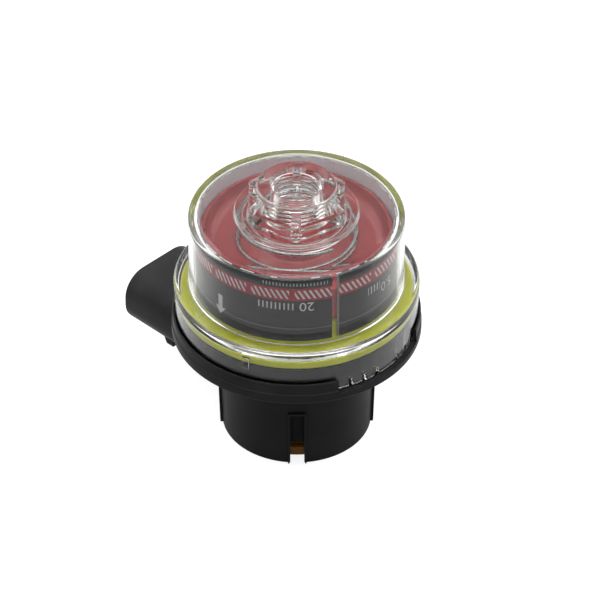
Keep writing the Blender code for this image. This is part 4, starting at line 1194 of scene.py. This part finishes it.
def stage_floor():
    """A wide floor: white to the camera but for the object's shadow, grey in reflections, where a painted
    glow rises from nil in front of the object to bright behind it.
    """
    deselect()
    bpy.ops.mesh.primitive_plane_add(size=3.0, location=(AXIS.x, 0, 0))
    floor = started("floor")
    finish = Finish("floor_paper", {"Base Color": colour(0.34, 0.34, 0.34), "Roughness": 0.6})
    finish.shader.inputs["Specular IOR Level"].default_value = 0.2
    paper = finish.noise(900, 2.0, 0.5)
    finish.set(roughness=finish.span(paper, 0.3, 0.7, 0.55, 0.65))
    depth = finish.along_view()
    camera_ray = finish.add("ShaderNodeLightPath", output="Is Camera Ray")
    through = finish.add("ShaderNodeLightPath", output="Is Transmission Ray")
    mirrored = finish.add("ShaderNodeLightPath", output="Is Glossy Ray")
    # painted light: the floor's glow as reflections see it, nil in front of the object and rising behind
    # it
    fade = finish.span(depth, -0.045, 0.05, 0.0, FLOOR_MIRRORED)
    glow = camera_ray * FLOOR_SEEN + through * FLOOR_THROUGH + mirrored * fade
    emission = finish.add("ShaderNodeEmission", {}, {"Color": colour(1, 1, 1), "Strength": glow})
    added = finish.tree.nodes.new("ShaderNodeAddShader")
    finish.tree.links.new(finish.shader.outputs[0], added.inputs[0])
    finish.tree.links.new(emission.socket, added.inputs[1])
    finish.tree.links.new(added.outputs[0], finish.tree.nodes["Material Output"].inputs[0])
    floor.data.materials.append(finish.material)
    return floor


def world():
    """Surroundings: white where they are seen, bright behind the object, dim in front."""
    surroundings = bpy.data.worlds.new("studio")
    bpy.context.scene.world = surroundings
    surroundings.use_nodes = True
    tree = surroundings.node_tree
    background = tree.nodes["Background"]
    background.inputs["Color"].default_value = colour(1.0, 1.0, 1.0)
    way = tree.nodes.new("ShaderNodeTexCoord")
    behind = tree.nodes.new("ShaderNodeVectorMath")
    behind.operation = "DOT_PRODUCT"
    behind.inputs[1].default_value = BEHIND
    tree.links.new(way.outputs["Generated"], behind.inputs[0])
    fade = tree.nodes.new("ShaderNodeMapRange")
    tree.links.new(behind.outputs["Value"], fade.inputs["Value"])
    limits = {"From Min": -0.2, "From Max": 0.6, "To Min": WORLD_FRONT, "To Max": WORLD_BEHIND}
    for socket, value in limits.items():
        fade.inputs[socket].default_value = value
    path = tree.nodes.new("ShaderNodeLightPath")
    through = tree.nodes.new("ShaderNodeMix")
    tree.links.new(path.outputs["Is Transmission Ray"], through.inputs[0])
    tree.links.new(fade.outputs[0], through.inputs[2])
    through.inputs[3].default_value = WORLD_THROUGH
    seen = tree.nodes.new("ShaderNodeMix")
    tree.links.new(path.outputs["Is Camera Ray"], seen.inputs[0])
    tree.links.new(through.outputs[0], seen.inputs[2])
    seen.inputs[3].default_value = 1.0
    tree.links.new(seen.outputs[0], background.inputs["Strength"])


def softbox(name, size, power, spot, target):
    """A large soft lamp that points at a target."""
    lamp = bpy.data.lights.new(name, "AREA")
    lamp.shape = "RECTANGLE"
    lamp.size, lamp.size_y = size
    lamp.energy = power
    holder = bpy.data.objects.new(name, lamp)
    holder.location = spot
    holder.rotation_euler = (Vector(target) - Vector(spot)).to_track_quat("-Z", "Y").to_euler()
    bpy.context.scene.collection.objects.link(holder)
    return holder


def camera():
    """A long lens at the photograph's viewing angle."""
    azimuth = math.radians(CAMERA_AZIMUTH)
    elevation = math.radians(CAMERA_ELEVATION)
    right = Vector((math.cos(azimuth), math.sin(azimuth), 0))
    back = Vector(
        (
            math.sin(azimuth) * math.cos(elevation),
            -math.cos(azimuth) * math.cos(elevation),
            math.sin(elevation),
        )
    )
    target = place(0, 0, CAMERA_LEVEL) + right * CAMERA_SHIFT * MM
    lens = bpy.data.cameras.new("camera")
    lens.lens = lens.sensor_width * CAMERA_DISTANCE / (PICTURE_WIDTH / PIXELS_PER_MM * MM)
    holder = bpy.data.objects.new("camera", lens)
    holder.location = target + back * CAMERA_DISTANCE
    holder.rotation_euler = (-back).to_track_quat("-Z", "Y").to_euler()
    bpy.context.scene.collection.objects.link(holder)
    bpy.context.scene.camera = holder


# Finishes

BLACK = black_nylon()
CLEAR = clear_plastic()
FILM = printed_film()
RED = red_plastic()
SILICONE = yellow_silicone()
AMBER = amber_plastic()
NATURAL = natural_plastic()
STEEL = drawn_metal("spring_steel", colour(0.33, 0.33, 0.33), colour(0.45, 0.45, 0.45), 2500, (1, 1, 0.3))
BRASS = drawn_metal("turned_brass", colour(0.72, 0.5, 0.2), colour(0.82, 0.62, 0.3), 2500, (0.3, 0.3, 1))
BRONZE = drawn_metal("bronze_strip", colour(0.65, 0.38, 0.2), colour(0.76, 0.48, 0.28), 2500, (0.1, 1, 1))
TIN = drawn_metal("tinned_blade", colour(0.62, 0.61, 0.58), colour(0.75, 0.74, 0.71), 2500, (0.1, 1, 1))
FOAM = filter_foam()

# Pieces

camera()
clear_housing(CLEAR)
data_label(FILM)
numerals("20", -39.8, 42.8, NUMBER_SIZE, NATURAL)
numerals("5.0", 13.5, 41.2, NUMBER_SIZE, NATURAL)
red_cup(RED)
diaphragm(SILICONE)
base(BLACK)
button(AMBER)
blade("blade_left", "terminal_left", TIN)
blade("blade_right", "terminal_right", TIN)

spring_ends = (BOWL_FLOOR + 0.3, CEILING - 0.3)
flat_turns = (0.85, 0.45)
spring = coil("calibration_coil", SPRING_RADIUS, SPRING_WIRE, spring_ends, 2.0, flat_turns, -7.5, 0.8)
spring.data.materials.append(STEEL)
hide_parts("calibration_spring")
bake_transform(spring)
return_spring = coil("return_coil", 6.0, 0.6, (2.9, 9.6), 4.0, (0.75, 0.75))
return_spring.data.materials.append(STEEL)
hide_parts("button_spring")
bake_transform(return_spring)

CARRIED = {
    "retainer_plate": NATURAL,
    "ratchet_stem": NATURAL,
    "latch_cover": NATURAL,
    "switch_carrier": NATURAL,
    "push_nut": STEEL,
    "latch_clip": STEEL,
    "contact_ring": BRASS,
    "rivet_left": BRASS,
    "rivet_right": BRASS,
    "contact_leaf_left": BRONZE,
    "contact_leaf_right": BRONZE,
    "vent_filter": FOAM,
}
for name, material in CARRIED.items():
    node = frame["nodes"][name]
    node.data.materials.clear()
    node.data.materials.append(material)

# Stage and light

stage_floor()
world()
bpy.context.scene.view_settings.view_transform = "Standard"
light_paths = bpy.context.scene.cycles
light_paths.max_bounces = 32
light_paths.transmission_bounces = 32
light_paths.glossy_bounces = 16
MIDDLE = (AXIS.x, 0, 0.03)
softbox("overhead", (1.1, 0.9), 8.0, (AXIS.x + 0.12, -0.1, 0.9), MIDDLE)
softbox("left_side", (0.9, 0.7), 2.5, (AXIS.x - 0.6, -0.15, 0.4), MIDDLE)
softbox("right_side", (0.9, 0.7), 3.0, (AXIS.x + 0.3, 0.6, 0.4), MIDDLE)
